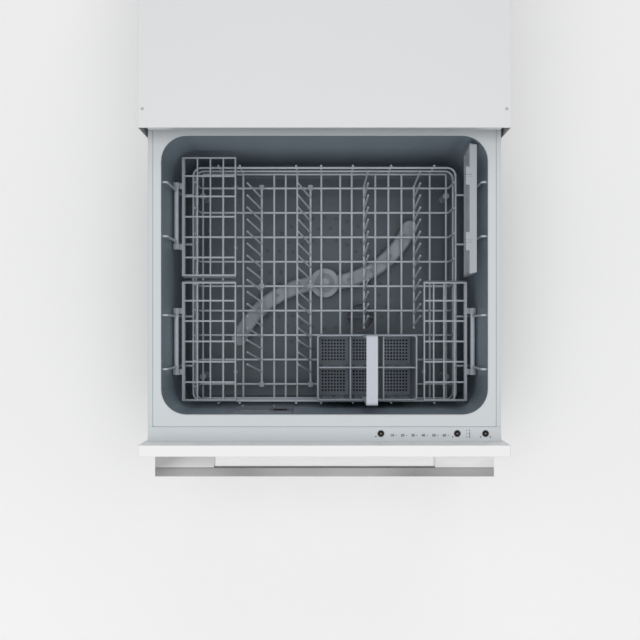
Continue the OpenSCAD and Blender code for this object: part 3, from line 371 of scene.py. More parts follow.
finishes = {
    "galvanised_steel": galvanised("galvanised_steel", (0.52, 0.53, 0.54)),
    "dark_plastic": moulded("dark_plastic", (0.03, 0.03, 0.033), 0.5),
    "foot_steel": brushed("foot_steel", (0.42, 0.42, 0.43), "z"),
    "valve_plastic": moulded("valve_plastic", (0.66, 0.64, 0.58)),
    "runner_steel": brushed("runner_steel", (0.56, 0.57, 0.58), "y", 0.26),
    "lid_plastic": moulded("lid_plastic", (0.55, 0.57, 0.60)),
    "seal_rubber": rubbery("seal_rubber", (0.09, 0.095, 0.105)),
    # The dark colour towards the tub floor is painted shade, and the wall grey is darker than the rim partly
    # as painted shade.
    "tub_plastic": tub_finish(
        "tub_plastic", base=(0.245, 0.30, 0.355), floor_shade=(0.085, 0.108, 0.130), rim=(0.62, 0.655, 0.675)),
    "rim_plastic": moulded("rim_plastic", (0.605, 0.64, 0.665), 0.36, spread=0.015, edge=0.0012),
    "circuit_board": circuit("circuit_board", (0.01, 0.09, 0.035)),
    "door_white": enamelled("door_white", (0.88, 0.88, 0.88)),
    "liner_plastic": moulded("liner_plastic", (0.89, 0.895, 0.895)),
    "frame_steel": galvanised("frame_steel", (0.50, 0.51, 0.52)),
    # The last colour of each handle finish is painted shade for the faces turned towards the door.
    "handle_metal": handle_finish("handle_metal", (0.68, 0.68, 0.68), (0.09, 0.09, 0.094)),
    "filter_steel": brushed("filter_steel", (0.112, 0.134, 0.156), "x", 0.42, metallic=0.2),
    "sump_plastic": moulded("sump_plastic", (0.07, 0.078, 0.09)),
    "motor_steel": laminated("motor_steel", (0.12, 0.11, 0.10)),
    "dispenser_plastic": moulded("dispenser_plastic", (0.20, 0.23, 0.26), 0.36),
    "button_plastic": moulded("button_plastic", (0.016, 0.012, 0.011), 0.5, edge=0.0004, specular=0.2),
    "spray_plastic": moulded("spray_plastic", (0.29, 0.32, 0.355), 0.34, edge=0.0016),
    "filter_plastic": moulded("filter_plastic", (0.10, 0.115, 0.135), 0.4),
    "coated_wire": coated("coated_wire", (0.54, 0.59, 0.64)),
    "clip_plastic": moulded("clip_plastic", (0.36, 0.39, 0.43), 0.4),
    "rack_plastic": moulded("rack_plastic", (0.375, 0.41, 0.445), 0.36, edge=0.0007),
    "cutlery_plastic": moulded("cutlery_plastic", (0.32, 0.355, 0.405), 0.38, edge=0.0006),
    "strap_plastic": moulded("strap_plastic", (0.53, 0.555, 0.62), 0.38, edge=0.0010),
}
# Painted shade: the bar takes the handle's brushed steel at about half brightness, a darker copy of the
# posts' finish.
shaded_bar_metal = handle_finish("shaded_bar_metal", (0.36, 0.36, 0.36), (0.09, 0.09, 0.094))
chassis_top_paint = enamelled("chassis_top_paint", (0.74, 0.75, 0.76), 0.4)
mark_ink = moulded("mark_ink", (0.045, 0.052, 0.06), 0.6, spread=0.1)
seam_shade = moulded("seam_shade", (0.25, 0.27, 0.285), 0.6)
mesh_steel = woven("mesh_steel", (0.15, 0.165, 0.18), 0.0011)
zinc_steel = galvanised("zinc_steel", (0.46, 0.465, 0.475), 0.36)
hole_shade = moulded("hole_shade", (0.018, 0.022, 0.027), 0.7)
button_mark = moulded("button_mark", (0.30, 0.29, 0.285), 0.4)

for part in frame["record"]["subparts"]:
    mesh = nodes[part["node"]].data
    mesh.materials.clear()
    mesh.materials.append(finishes[part["material_slot"]])
nodes["chassis_top"].data.materials[0] = chassis_top_paint
nodes["handle_bar"].data.materials[0] = shaded_bar_metal


# ---- Builders ----


def keep(name, data, body, slot, material=None):
    """Adds a piece that rides on a body and takes its finish from a slot."""
    made = bpy.data.objects.new(name, data)
    bpy.context.scene.collection.objects.link(made)
    data.materials.append(material or finishes[slot])
    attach(made, body)
    return made


class Solids:
    """Grows one mesh out of simple closed solids, in metres of the row frame."""

    def __init__(self):
        self.bm = bmesh.new()

    def block(self, low, high):
        """Box between two opposite corners."""
        made = bmesh.ops.create_cube(self.bm, size=1.0)["verts"]
        bmesh.ops.scale(self.bm, vec=high - low, verts=made)
        bmesh.ops.translate(self.bm, vec=(low + high) / 2, verts=made)

    def lathe(self, place, along, profile, sides):
        """Closed solid of revolution: profile is (radius, height) pairs, from the axis back to the axis."""
        turn = along.to_track_quat("Z", "Y").to_matrix().to_4x4()
        matrix = Matrix.Translation(place) @ turn
        rings = []
        for radius, height in profile:
            angles = [2 * pi * i / sides for i in range(sides if radius else 1)]
            ring = [Vector((radius * cos(a), radius * sin(a), height)) for a in angles]
            rings.append([self.bm.verts.new(matrix @ point) for point in ring])
        for low, high in zip(rings, rings[1:]):
            for i in range(sides):
                j = (i + 1) % sides
                corners = [ring[k % len(ring)] for ring, k in ((low, i), (low, j), (high, j), (high, i))]
                face = [v for k, v in enumerate(corners) if v not in corners[:k]]
                if len(face) > 2:
                    self.bm.faces.new(face)

    def keep(self, name, body, slot, material=None):
        """Closes the mesh and adds it as a piece that is smooth except at its corners."""
        bmesh.ops.recalc_face_normals(self.bm, faces=self.bm.faces)
        data = bpy.data.meshes.new(name)
        self.bm.to_mesh(data)
        self.bm.free()
        for face in data.polygons:
            face.use_smooth = True
        data.set_sharp_from_angle(angle=radians(35))
        return keep(name, data, body, slot, material)


def filleted(points, radius, steps=5, closed=False):
    """The points joined by straight stretches, with each corner turned on an arc of that radius."""
    out = []
    count = len(points)
    for i, corner in enumerate(points):
        if not closed and i in (0, count - 1):
            out.append(corner)
            continue
        before = (points[i - 1] - corner).normalized()
        after = (points[(i + 1) % count] - corner).normalized()
        half = before.angle(after) / 2
        middle = corner + (before + after).normalized() * (radius / sin(half))
        start = corner + before * (radius / (sin(half) / cos(half)))
        end = corner + after * (radius / (sin(half) / cos(half)))
        a, b = start - middle, end - middle
        sweep = a.angle(b)
        for k in range(steps + 1):
            t = sweep * k / steps
            out.append(middle + (a * sin(sweep - t) + b * sin(t)) / sin(sweep))
    return out


def rectangle(x0, y0, x1, y1, z):
    """Corners of a level rectangle of the drawer, in millimetres."""
    return [in_drawer(x, y, z) for x, y in ((x0, y0), (x1, y0), (x1, y1), (x0, y1))]


def wirework(name, runs, body, slot, diameter, replaces=()):
    """Round wires: each run is (points, closed, thickness factor), joined in one piece."""
    data = bpy.data.curves.new(name, "CURVE")
    data.dimensions = "3D"
    data.bevel_depth = diameter / 2
    data.bevel_resolution = 3
    data.use_fill_caps = True
    for points, closed, factor in runs:
        spline = data.splines.new("POLY")
        spline.points.add(len(points) - 1)
        for point, place in zip(spline.points, points):
            point.co = (*place, 1)
            point.radius = factor
        spline.use_cyclic_u = closed
        spline.use_smooth = True
    made = keep(name, data, body, slot)
    if replaces:
        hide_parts(*replaces)
    return made


# ---- Wire basket: the rails, cross wires and long wires as bent, welded runs ----

# The grilles of the source give the outsides of the wires, so half a wire leads to each middle line.
WIRE = 4.0
HALF_WIRE = WIRE / 2
(_, _, grille_low), (grille_x, _, grille_high) = drawer_box("basket_floor")
(_, front_upright_y, _), (_, front_rail_y, grille_top) = drawer_box("basket_front")
(_, back_rail_y, _), (_, back_upright_y, _) = drawer_box("basket_back")
(side_upright_x, _, _), (side_rail_x, _, _) = drawer_box("basket_right")
LONG_Z = grille_low + HALF_WIRE
CROSS_Z = grille_high - HALF_WIRE
GRILLE_TOP = grille_top - HALF_WIRE
MIDDLE_RAIL_Z = 160.0
RAIL_X = side_rail_x - HALF_WIRE
UPRIGHT_X = side_upright_x + HALF_WIRE
FRONT_Y, BACK_Y = front_rail_y - HALF_WIRE, back_rail_y + HALF_WIRE
UPRIGHT_FRONT_Y, UPRIGHT_BACK_Y = front_upright_y + HALF_WIRE, back_upright_y - HALF_WIRE
EDGE_WIRE_X = grille_x - WIRE
STRAIGHT_WIRES = (-96, -74, 30, 97, 147)
BENT_WIRES = (-194, -155, -52, -6, 52, 122, 201)
CROSS_COUNT, CROSS_PITCH, FIRST_CROSS_Y = 9, 46.6, 81.6
RAIL_CORNER_R = 15 * MM
BEND_R = 6 * MM


def basket_wires():
    """Two rails round the basket, and the wires that cross under it and turn up to the top rail."""
    runs = []
    for z in (GRILLE_TOP, MIDDLE_RAIL_Z):
        rail = rectangle(-RAIL_X, FRONT_Y, RAIL_X, BACK_Y, z)
        runs.append((filleted(rail, RAIL_CORNER_R, 6, True), True, 1.0))
    for y in (FRONT_Y, BACK_Y):
        runs.append(([in_drawer(x, y, CROSS_Z) for x in (-EDGE_WIRE_X, EDGE_WIRE_X)], False, 1.0))
    for i in range(CROSS_COUNT):
        y = FIRST_CROSS_Y + CROSS_PITCH * i
        path = [(-UPRIGHT_X, GRILLE_TOP), (-UPRIGHT_X, CROSS_Z),
                (UPRIGHT_X, CROSS_Z), (UPRIGHT_X, GRILLE_TOP)]
        runs.append((filleted([in_drawer(x, y, z) for x, z in path], BEND_R), False, 1.0))
    for x in BENT_WIRES:
        path = [(UPRIGHT_FRONT_Y, GRILLE_TOP), (UPRIGHT_FRONT_Y, LONG_Z),
                (UPRIGHT_BACK_Y, LONG_Z), (UPRIGHT_BACK_Y, GRILLE_TOP)]
        runs.append((filleted([in_drawer(x, y, z) for y, z in path], BEND_R), False, 1.0))
    for x in STRAIGHT_WIRES + (-EDGE_WIRE_X, EDGE_WIRE_X):
        runs.append(([in_drawer(x, y, LONG_Z) for y in (FRONT_Y, BACK_Y)], False, 1.0))
    grilles = ("basket_floor", "basket_front", "basket_back", "basket_left", "basket_right")
    wirework("basket_wirework", runs, "basket", "coated_wire", WIRE * MM, grilles)


(_, _, hanger_low), (hook_end_x, _, hanger_high) = drawer_box("rack_supports")
HANGER_FOOT_Z = hanger_low + HALF_WIRE
HOOK_Z = hanger_high - HALF_WIRE
HANGER_X = 262.0
ROD_Z = 250.0
ROD_L = 118.0
ROD_THICKNESS = 2.0
HANGER_PITCH = 90.0
HANGER_BEND_R = 5 * MM
RACK_GAP = 4.5
RACK_L = 217.0


def rack_hangers():
    """Bent wires that carry each hinge rod, with a hook that rests on the tub wall."""
    runs = []
    for side, end in product((-1, 1), (-1, 1)):
        middle = TUB_MIDDLE_Y + end * (RACK_L + RACK_GAP) / 2
        rod = [in_drawer(side * HANGER_X, middle + s * ROD_L / 2, ROD_Z) for s in (-1, 1)]
        runs.append((rod, False, ROD_THICKNESS))
        for y in (middle - HANGER_PITCH / 2, middle + HANGER_PITCH / 2):
            path = [(RAIL_X - HALF_WIRE, HANGER_FOOT_Z), (HANGER_X, HANGER_FOOT_Z),
                    (HANGER_X, HOOK_Z), (hook_end_x, HOOK_Z)]
            runs.append((filleted([in_drawer(side * x, y, z) for x, z in path], HANGER_BEND_R), False, 1.0))
    wirework("rack_hangers", runs, "basket", "coated_wire", WIRE * MM, ("rack_supports",))


TINE_R = 1.75 * MM
TINE_END_DEPTH = 3.5 * MM
TINE_END_SPAN = 8 * MM
ROW_SPACING = 30 * MM


def tine_ends(node):
    """The end points of each tine: clusters of the node's highest points."""
    points = [v.co.copy() for v in nodes[node].data.vertices]
    top = max(p.z for p in points)
    ends = []
    for point in sorted(points, key=lambda p: (round(p.x / ROW_SPACING), p.y)):
        if point.z <= top - TINE_END_DEPTH:
            continue
        for end in ends:
            if (end[0] - point).length < TINE_END_SPAN:
                end.append(point)
                break
        else:
            ends.append([point])
    return ends


def tine_tips(node, body):
    """Rounded ends on the tines of a node."""
    made = Solids()
    swell = 1.02
    angles = [radians(a) for a in range(-60, 90, 30)]
    ball = [(TINE_R * swell * cos(a), TINE_R * sin(a)) for a in angles]
    for end in tine_ends(node):
        low = Vector([min(values) for values in zip(*end)])
        high = Vector([max(values) for values in zip(*end)])
        made.lathe((low + high) / 2, UP, [(0, -TINE_R), *ball, (0, TINE_R)], 12)
    made.keep(node + "_tips", body, "coated_wire")


basket_wires()
rack_hangers()
tine_tips("tine_row_left", "tine_row_left")
tine_tips("tine_row_centre", "tine_row_centre")
tine_tips("plate_tines", "basket")


# ---- Cutlery basket: perforated floor, lattice in the wall slots, rolled lip ----

cutlery_box = drawer_box("cutlery_basket")
CUTLERY_X, CUTLERY_Y, _ = centre(cutlery_box)
CUTLERY_Z, CUTLERY_TOP = cutlery_box[0][2], cutlery_box[1][2]
CUTLERY_W = cutlery_box[1][0] - cutlery_box[0][0]
CUTLERY_L = cutlery_box[1][1] - cutlery_box[0][1]
CUTLERY_WALL = 2.4
PANE_W, PANE_L, PANE_T = 46.0, 42.0, 0.5
PANE_COLUMNS, PANE_ROWS = 8, 7
PANE_HOLE_R = 2.0
PANE_HOLE_SIDES = 12
SHADE_T, SHADE_SINK, SHADE_INSET = 0.15, 0.1, 1.0
SLOT_W, SLOT_LOW, SLOT_HIGH = 16.0, 16.0, 94.0
SLOT_OFFSET = 12.0
LATTICE_BARS = 9
LATTICE_INSET, BAR_INSET = 0.5, 0.6
LATTICE_POST_W, LATTICE_BAR_H = 1.4, 1.6
LATTICE_SINK = 0.3
LIP_D, LIP_SINK = 3.4, 1.5
LIP_CORNER_R = 5.0


def cell_places():
    """Middles of the basket's six cells."""
    columns, rows = (-1, 0, 1), (-1, 1)
    return [(CUTLERY_X + i * CUTLERY_W / 3, CUTLERY_Y + j * CUTLERY_L / 4) for i, j in product(columns, rows)]


def holed_tile(made, x, y, z, half_w, half_l):
    """A flat rectangle with a round hole in its middle, as a ring of faces."""
    hole, rim = [], []
    for k in range(PANE_HOLE_SIDES):
        angle = 2 * pi * (k + 0.5) / PANE_HOLE_SIDES
        c, s = cos(angle), sin(angle)
        reach = 1 / max(abs(c), abs(s))
        hole.append(made.verts.new(in_drawer(x + PANE_HOLE_R * c, y + PANE_HOLE_R * s, z)))
        rim.append(made.verts.new(in_drawer(x + reach * c * half_w, y + reach * s * half_l, z)))
    for k in range(PANE_HOLE_SIDES):
        after = (k + 1) % PANE_HOLE_SIDES
        made.faces.new((hole[k], rim[k], rim[after], hole[after]))


def perforated_floor():
    """A pane of round holes on the floor of each cell, over a dark sheet of painted shade."""
    panes, shade = bmesh.new(), Solids()
    floor_z = CUTLERY_Z + CUTLERY_WALL
    pane_z = floor_z + SHADE_T + PANE_T / 2
    half_w, half_l = PANE_W / PANE_COLUMNS / 2, PANE_L / PANE_ROWS / 2
    shade_x, shade_y = PANE_W / 2 - SHADE_INSET, PANE_L / 2 - SHADE_INSET
    for x, y in cell_places():
        shade.block(in_drawer(x - shade_x, y - shade_y, floor_z - SHADE_SINK),
                    in_drawer(x + shade_x, y + shade_y, floor_z + SHADE_T))
        for column, row in product(range(PANE_COLUMNS), range(PANE_ROWS)):
            tile_x = x - PANE_W / 2 + (2 * column + 1) * half_w
            tile_y = y - PANE_L / 2 + (2 * row + 1) * half_l
            holed_tile(panes, tile_x, tile_y, pane_z, half_w, half_l)
    bmesh.ops.remove_doubles(panes, verts=panes.verts, dist=0.02 * MM)
    data = bpy.data.meshes.new("cutlery_floor_mesh")
    panes.to_mesh(data)
    panes.free()
    pane = keep("cutlery_floor_mesh", data, "cutlery_basket", "cutlery_plastic")
    thick = pane.modifiers.new("thickness", "SOLIDIFY")
    thick.thickness = PANE_T * MM
    thick.offset = 0
    shade.keep("cutlery_floor_shade", "cutlery_basket", "cutlery_plastic", hole_shade)


def wall_lattice():
    """Posts and bars that close the slots of the front, middle and back walls."""
    made = Solids()
    low, high = CUTLERY_Z + SLOT_LOW, CUTLERY_Z + SLOT_HIGH
    half_l = CUTLERY_L / 2
    for wall_y in (CUTLERY_Y - half_l, CUTLERY_Y - CUTLERY_WALL / 2, CUTLERY_Y + half_l - CUTLERY_WALL):
        post_y0, post_y1 = wall_y + LATTICE_INSET, wall_y + CUTLERY_WALL - LATTICE_INSET
        bar_y0, bar_y1 = wall_y + BAR_INSET, wall_y + CUTLERY_WALL - BAR_INSET
        for i, side in product((-1, 0, 1), (-1, 1)):
            x = CUTLERY_X + i * CUTLERY_W / 3 + side * SLOT_OFFSET
            for post_x in (x - SLOT_W / 6, x + SLOT_W / 6):
                made.block(in_drawer(post_x - LATTICE_POST_W / 2, post_y0, low - LATTICE_SINK),
                           in_drawer(post_x + LATTICE_POST_W / 2, post_y1, high + LATTICE_SINK))
            reach = SLOT_W / 2 + LATTICE_SINK
            for k in range(1, LATTICE_BARS + 1):
                z = low + k * (high - low) / (LATTICE_BARS + 1)
                made.block(in_drawer(x - reach, bar_y0, z - LATTICE_BAR_H / 2),
                           in_drawer(x + reach, bar_y1, z + LATTICE_BAR_H / 2))
    made.keep("cutlery_wall_mesh", "cutlery_basket", "cutlery_plastic")


def cutlery_lip():
    """Rolled lip along the top of the outer walls."""
    half_w, half_l = (CUTLERY_W - CUTLERY_WALL) / 2, (CUTLERY_L - CUTLERY_WALL) / 2
    corners = rectangle(CUTLERY_X - half_w, CUTLERY_Y - half_l, CUTLERY_X + half_w, CUTLERY_Y + half_l,
                        CUTLERY_TOP - LIP_SINK)
    loop = filleted(corners, LIP_CORNER_R * MM, 8, True)
    wirework("cutlery_lip", [(loop, True, 1.0)], "cutlery_basket", "cutlery_plastic", LIP_D * MM)


perforated_floor()
wall_lattice()
cutlery_lip()


# ---- Rim: rolled edge round the opening, and the seams of the flange ----

(_, FLANGE_FRONT_Y, _), (FLANGE_X, FLANGE_BACK_Y, _) = drawer_box("tub")
FLANGE_SIDE, FLANGE_END = 13.5, 20.0
OPENING_R = 42.0
ROLL_R = 1.1
ROLL_RISE = 0.25
TRIM_GAP = 0.1
SEAM_X = FLANGE_X + TRIM_GAP / 2
SEAM_W, SEAM_SINK, SEAM_RISE = 0.8, 0.2, 0.04
CORNER_FILL, FILL_DEPTH, FILL_SINK = 6.0, 1.5, 0.05


def rim_edge():
    """Rolled edge round the opening of the tub."""
    x = FLANGE_X - FLANGE_SIDE + ROLL_R
    y0, y1 = FLANGE_FRONT_Y + FLANGE_END - ROLL_R, FLANGE_BACK_Y - FLANGE_END + ROLL_R
    corners = rectangle(-x, y0, x, y1, RIM_Z - ROLL_R + ROLL_RISE)
    loop = filleted(corners, (OPENING_R + ROLL_R) * MM, 14, True)
    wirework("rim_rolled_edge", [(loop, True, 1.0)], "drawer", "rim_plastic", 2 * ROLL_R * MM)


def rim_seams():
    """Seams between the flange, the side trims and the control strip as dark strips of painted shade, and the
    corners where they meet.
    """
    half = SEAM_W / 2
    end = SEAM_X - half
    bottom, top = RIM_Z - SEAM_SINK, RIM_Z + SEAM_RISE
    seams, corners = Solids(), Solids()
    seams.block(in_drawer(-end, FLANGE_FRONT_Y - half, bottom), in_drawer(end, FLANGE_FRONT_Y + half, top))
    for side in (-1, 1):
        x = side * SEAM_X
        seams.block(in_drawer(x - half, FLANGE_FRONT_Y - half, bottom),
                    in_drawer(x + half, FLANGE_BACK_Y, top))
        x0, x1 = sorted((side * (SEAM_X - CORNER_FILL), side * end))
        corners.block(in_drawer(x0, FLANGE_FRONT_Y + half, RIM_Z - FILL_DEPTH),
                      in_drawer(x1, FLANGE_FRONT_Y + CORNER_FILL, RIM_Z - FILL_SINK))
    seams.keep("rim_seams", "drawer", "rim_plastic", seam_shade)
    corners.keep("rim_corner_fillers", "drawer", "rim_plastic")


rim_edge()
rim_seams()


# ---- Filter plate: fine mesh in its drain holes ----

PLATE_T = 2.0
PLATE_TOP_Z = drawer_box("filter_plate")[0][2] + PLATE_T
RING_COUNT, FIRST_RING_R, RING_STEP = 3, 88.0, 21.0
FIRST_RING_HOLES, EXTRA_HOLES = 24, 6
MESH_HOLE_D = 7.0
MESH_T, MESH_SINK, MESH_OVERLAP = 0.3, 0.7, 0.4
FILTER_D = 54.0
drain_x, drain_y, _ = centre(drawer_box("drain_filter"))


def filter_mesh():
    """A disc of fine mesh in each drain hole that the drain filter leaves free."""
    made = Solids()
    radius = (MESH_HOLE_D / 2 + MESH_OVERLAP) * MM
    disc = [(0, 0), (radius, 0), (radius, MESH_T * MM), (0, MESH_T * MM)]
    drain = Vector((drain_x, drain_y))
    for ring in range(RING_COUNT):
        count, ring_r = FIRST_RING_HOLES + EXTRA_HOLES * ring, FIRST_RING_R + RING_STEP * ring
        for i in range(count):
            angle = 2 * pi * i / count
            spot = Vector((ring_r * cos(angle), TUB_MIDDLE_Y + ring_r * sin(angle)))
            if (spot - drain).length > FILTER_D / 2 + MESH_HOLE_D:
                made.lathe(in_drawer(*spot, PLATE_TOP_Z - MESH_SINK), UP, disc, 12)
    made.keep("filter_hole_mesh", "drawer", "filter_steel", mesh_steel)


filter_mesh()


# ---- Chassis: screws, rivets and the threads of the ports ----

BACK_FACE_Y = cabinet_box("chassis_back")[1][1]
SIDE_FACE_X = cabinet_box("chassis_side_right")[1][0]
RUNNER_Z = centre(cabinet_box("runner_outer_right"))[2]
PORT_Z = centre(cabinet_box("cable_gland"))[2]
INLET_X = centre(cabinet_box("inlet_valve"))[0]
DRAIN_X = centre(cabinet_box("drain_spigot"))[0]
HEAD_SINK = 0.3 * MM
BACKWARD = Vector((0, 1, 0))
SCREW_R, RIVET_R = 3.6 * MM, 4.2 * MM
SIDE_SCREW_X, SIDE_SCREW_ZS = 290, (45, 150, 255, 360)
TOP_SCREW_Z, TOP_SCREW_XS = 400, (-210, -70, 70, 210)
RIVET_YS = (60, 170, 300, 430, 500)
THREAD_R, THREAD_PITCH, THREAD_TURNS, THREAD_D = 12.9, 1.8, 6, 1.0
THREAD_START = 2.0
BARB_COUNT, BARB_PITCH, BARB_START = 3, 3.6, 3
BARB_INNER_R, BARB_OUTER_R = 9.0 * MM, 10.2 * MM


def screw_head(made, place, along):
    """Pan head with a round drive recess: radii and heights are shares of the head's radius and rise."""
    rise = SCREW_R * 0.55
    shares = [(1, 0.45), (0.86, 0.8), (0.55, 1), (0.42, 1), (0.36, 0.35), (0, 0.3)]
    profile = [(0, -HEAD_SINK), (SCREW_R, -HEAD_SINK)] + [(SCREW_R * r, rise * h) for r, h in shares]
    made.lathe(place, along, profile, 20)


def rivet_head(made, place, along):
    """Low domed head."""
    rise = RIVET_R * 0.42
    dome = [(RIVET_R * cos(radians(a)), rise * sin(radians(a))) for a in range(0, 90, 18)]
    made.lathe(place, along, [(0, -HEAD_SINK), (RIVET_R, -HEAD_SINK), *dome, (0, rise)], 20)


def chassis_fasteners():
    """Screws round the back panel, and the rivets that hold the outer runners."""
    screws, rivets = Solids(), Solids()
    places = [(x, z) for z in SIDE_SCREW_ZS for x in (-SIDE_SCREW_X, SIDE_SCREW_X)]
    places += [(x, TOP_SCREW_Z) for x in TOP_SCREW_XS]
    for x, z in places:
        screw_head(screws, in_cabinet(x, BACK_FACE_Y, z), BACKWARD)
    for side, y in product((-1, 1), RIVET_YS):
        rivet_head(rivets, in_cabinet(side * SIDE_FACE_X, y, RUNNER_Z), Vector((side, 0, 0)))
    screws.keep("back_screws", "chassis", "foot_steel", zinc_steel)
    rivets.keep("runner_rivets", "chassis", "runner_steel", zinc_steel)


def port_threads():
    """Hose thread on the inlet port and barbs on the drain spigot."""
    steps = 24
    helix = []
    for k in range(THREAD_TURNS * steps + 1):
        turn = k / steps
        angle = 2 * pi * turn
        helix.append(in_cabinet(INLET_X + THREAD_R * cos(angle),
                                BACK_FACE_Y + THREAD_START + THREAD_PITCH * turn,
                                PORT_Z + THREAD_R * sin(angle)))
    wirework("inlet_thread", [(helix, False, 1.0)], "chassis", "valve_plastic", THREAD_D * MM)
    barbs = Solids()
    tooth = [(BARB_INNER_R, 0), (BARB_OUTER_R, 0.2 * MM), (BARB_OUTER_R, 0.6 * MM), (BARB_INNER_R, 3 * MM),
             (BARB_INNER_R, 0)]
    for k in range(BARB_COUNT):
        place = in_cabinet(DRAIN_X, BACK_FACE_Y + BARB_START + BARB_PITCH * k, PORT_Z)
        barbs.lathe(place, BACKWARD, tooth, 32)
    barbs.keep("drain_barbs", "chassis", "dark_plastic")


chassis_fasteners()
port_threads()


# ---- Controls: buttons, lamps and plain numerals ----

BUTTONS = ("button_power", "button_program", "button_start")
BEZEL_INNER_R, BEZEL_OUTER_R = 5.6 * MM, 6.2 * MM
BEZEL_RISE, BEZEL_SINK = 0.25 * MM, 0.4 * MM
BUTTON_MARK_R, BUTTON_MARK_RISE = 1.1 * MM, 0.2 * MM
LAMP_SINK = 0.2 * MM
NUMERAL_LIFT = 0.03
ROW_COUNT, ROW_START, ROW_PITCH, ROW_DROP = 6, 18.5, 17.2, 3.0
ROW_NUMERAL_H, ROW_LAMP_DX = 4.2, 6.4
COLUMN_COUNT, COLUMN_PITCH, COLUMN_NUMERAL_H = 3, 5.2, 3.6
COLUMN_NUMERAL_DX, COLUMN_LAMP_DX = 20.0, 15.6
SMALL_LAMP_R, LARGE_LAMP_R = 0.8, 1.1
# Places of the larger lamps: which button, how far to its right and how far in front of it.
BUTTON_LAMPS = ((0, -8.2, 5.0), (1, -7.7, 5.5), (2, -8.2, 5.6), (2, 7.9, 5.6))


def button_detail(node):
    """Bezel ring on the strip, and a raised mark on the button. Returns the button's (x, y)."""
    low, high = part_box(node)
    x, y = (low.x + high.x) / 2, (low.y + high.y) / 2
    bezel, mark = Solids(), Solids()
    section = [(BEZEL_INNER_R, -BEZEL_SINK), (BEZEL_INNER_R, BEZEL_RISE * 0.6),
               (BEZEL_INNER_R + 0.2 * MM, BEZEL_RISE), (BEZEL_OUTER_R - 0.3 * MM, BEZEL_RISE),
               (BEZEL_OUTER_R, -BEZEL_SINK), (BEZEL_INNER_R, -BEZEL_SINK)]
    bezel.lathe(Vector((x, y, rim_z)), UP, section, 40)
    bezel.keep(node + "_bezel", "drawer", "rim_plastic", seam_shade)
    disc = [(0, -0.3 * MM), (BUTTON_MARK_R, -0.3 * MM), (BUTTON_MARK_R, BUTTON_MARK_RISE * 0.6),
            (BUTTON_MARK_R * 0.8, BUTTON_MARK_RISE), (0, BUTTON_MARK_RISE)]
    mark.lathe(Vector((x, y, high.z)), UP, disc, 24)
    mark.keep(node + "_mark", node, "button_plastic", button_mark)
    return x / MM, (y - DRAWER_Y) / MM


def numeral(text, x, y, height):
    """A plain printed numeral on the control strip."""
    data = bpy.data.curves.new("numeral_" + text, "FONT")
    data.body = text
    data.size = height * 1.4 * MM
    data.align_x = "CENTER"
    data.align_y = "CENTER"
    data.extrude = 0.05 * MM
    data.offset = 0.16 * MM
    made = keep("numeral_{}_{}".format(text, int(x)), data, "drawer", "rim_plastic", mark_ink)
    made.location = in_drawer(x, y, RIM_Z + NUMERAL_LIFT)


def lamp(made, x, y, radius):
    """A low round lens."""
    lens = [(0, -LAMP_SINK), (radius * MM, -LAMP_SINK), (radius * MM, 0.1 * MM),
            (radius * 0.6 * MM, 0.3 * MM), (0, 0.35 * MM)]
    made.lathe(in_drawer(x, y, RIM_Z), UP, lens, 16)


def controls():
    """Buttons, a row of six numerals and a column of three, with a lamp beside each."""
    places = [button_detail(node) for node in BUTTONS]
    (power_x, button_y), (program_x, _), _ = places
    lamps = Solids()
    for i in range(ROW_COUNT):
        x, y = power_x + ROW_START + i * ROW_PITCH, button_y - ROW_DROP
        numeral(str(10 * (i + 1)), x, y, ROW_NUMERAL_H)
        lamp(lamps, x + ROW_LAMP_DX, y, SMALL_LAMP_R)
    for i in range(COLUMN_COUNT):
        y = button_y + COLUMN_PITCH * (1 - i)
        numeral(str(i + 1), program_x + COLUMN_NUMERAL_DX, y, COLUMN_NUMERAL_H)
        lamp(lamps, program_x + COLUMN_LAMP_DX, y, SMALL_LAMP_R)
    for button, right, front in BUTTON_LAMPS:
        lamp(lamps, places[button][0] + right, button_y - front, LARGE_LAMP_R)
    lamps.keep("control_lamps", "drawer", "rim_plastic", mark_ink)


controls()


# ---- Stage: floor, light and camera ----

FLOOR_HALF = 6.0
FLOOR_LIFT_NEAR, FLOOR_LIFT_FAR = 0.07, 0.42
FLOOR_LIFT_FROM, FLOOR_LIFT_TO = 0.8, 5.0


def floor():
    """A pale floor, which the camera sees lifted towards the backdrop's white with distance."""
    made = bpy.data.meshes.new("studio_floor")
    corners = [(x * FLOOR_HALF, y * FLOOR_HALF, 0) for x, y in ((-1, -1), (1, -1), (1, 1), (-1, 1))]
    made.from_pydata(corners, [], [(0, 1, 2, 3)])
    plane = bpy.data.objects.new("studio_floor", made)
    plane.location.z = -0.3 * MM
    bpy.context.scene.collection.objects.link(plane)
    s = Shader("studio_floor", (0.93, 0.93, 0.93), 0.9, specular=0.1)
    s.colour(s.tone(s.noise(1.5), 0.004))
    s.bsdf.inputs["Emission Color"].default_value = (1.0, 1.0, 1.0, 1)
    distance = s.node("ShaderNodeVectorMath", operation="LENGTH")
    s.link(s.coords, distance.inputs[0])
    reach = (FLOOR_LIFT_FROM, FLOOR_LIFT_TO)
    lift = s.ramp(distance.outputs["Value"], FLOOR_LIFT_NEAR, FLOOR_LIFT_FAR, reach)
    seen = s.node("ShaderNodeMath", operation="MULTIPLY")
    s.link(lift, seen.inputs[0])
    s.link(s.node("ShaderNodeLightPath").outputs["Is Camera Ray"], seen.inputs[1])
    s.link(seen.outputs["Value"], s.bsdf.inputs["Emission Strength"])
    made.materials.append(s.material)


def area_light(name, place, aim, size, power, in_gloss=True):
    """A soft lamp, which shows in gloss or only lights."""
    lamp_data = bpy.data.lights.new(name, "AREA")
    lamp_data.shape = "RECTANGLE"
    lamp_data.size, lamp_data.size_y = size
    lamp_data.energy = power
    made = bpy.data.objects.new(name, lamp_data)
    made.location = place
    made.rotation_euler = (Vector(aim) - Vector(place)).to_track_quat("-Z", "Y").to_euler()
    made.visible_glossy = in_gloss
    bpy.context.scene.collection.objects.link(made)


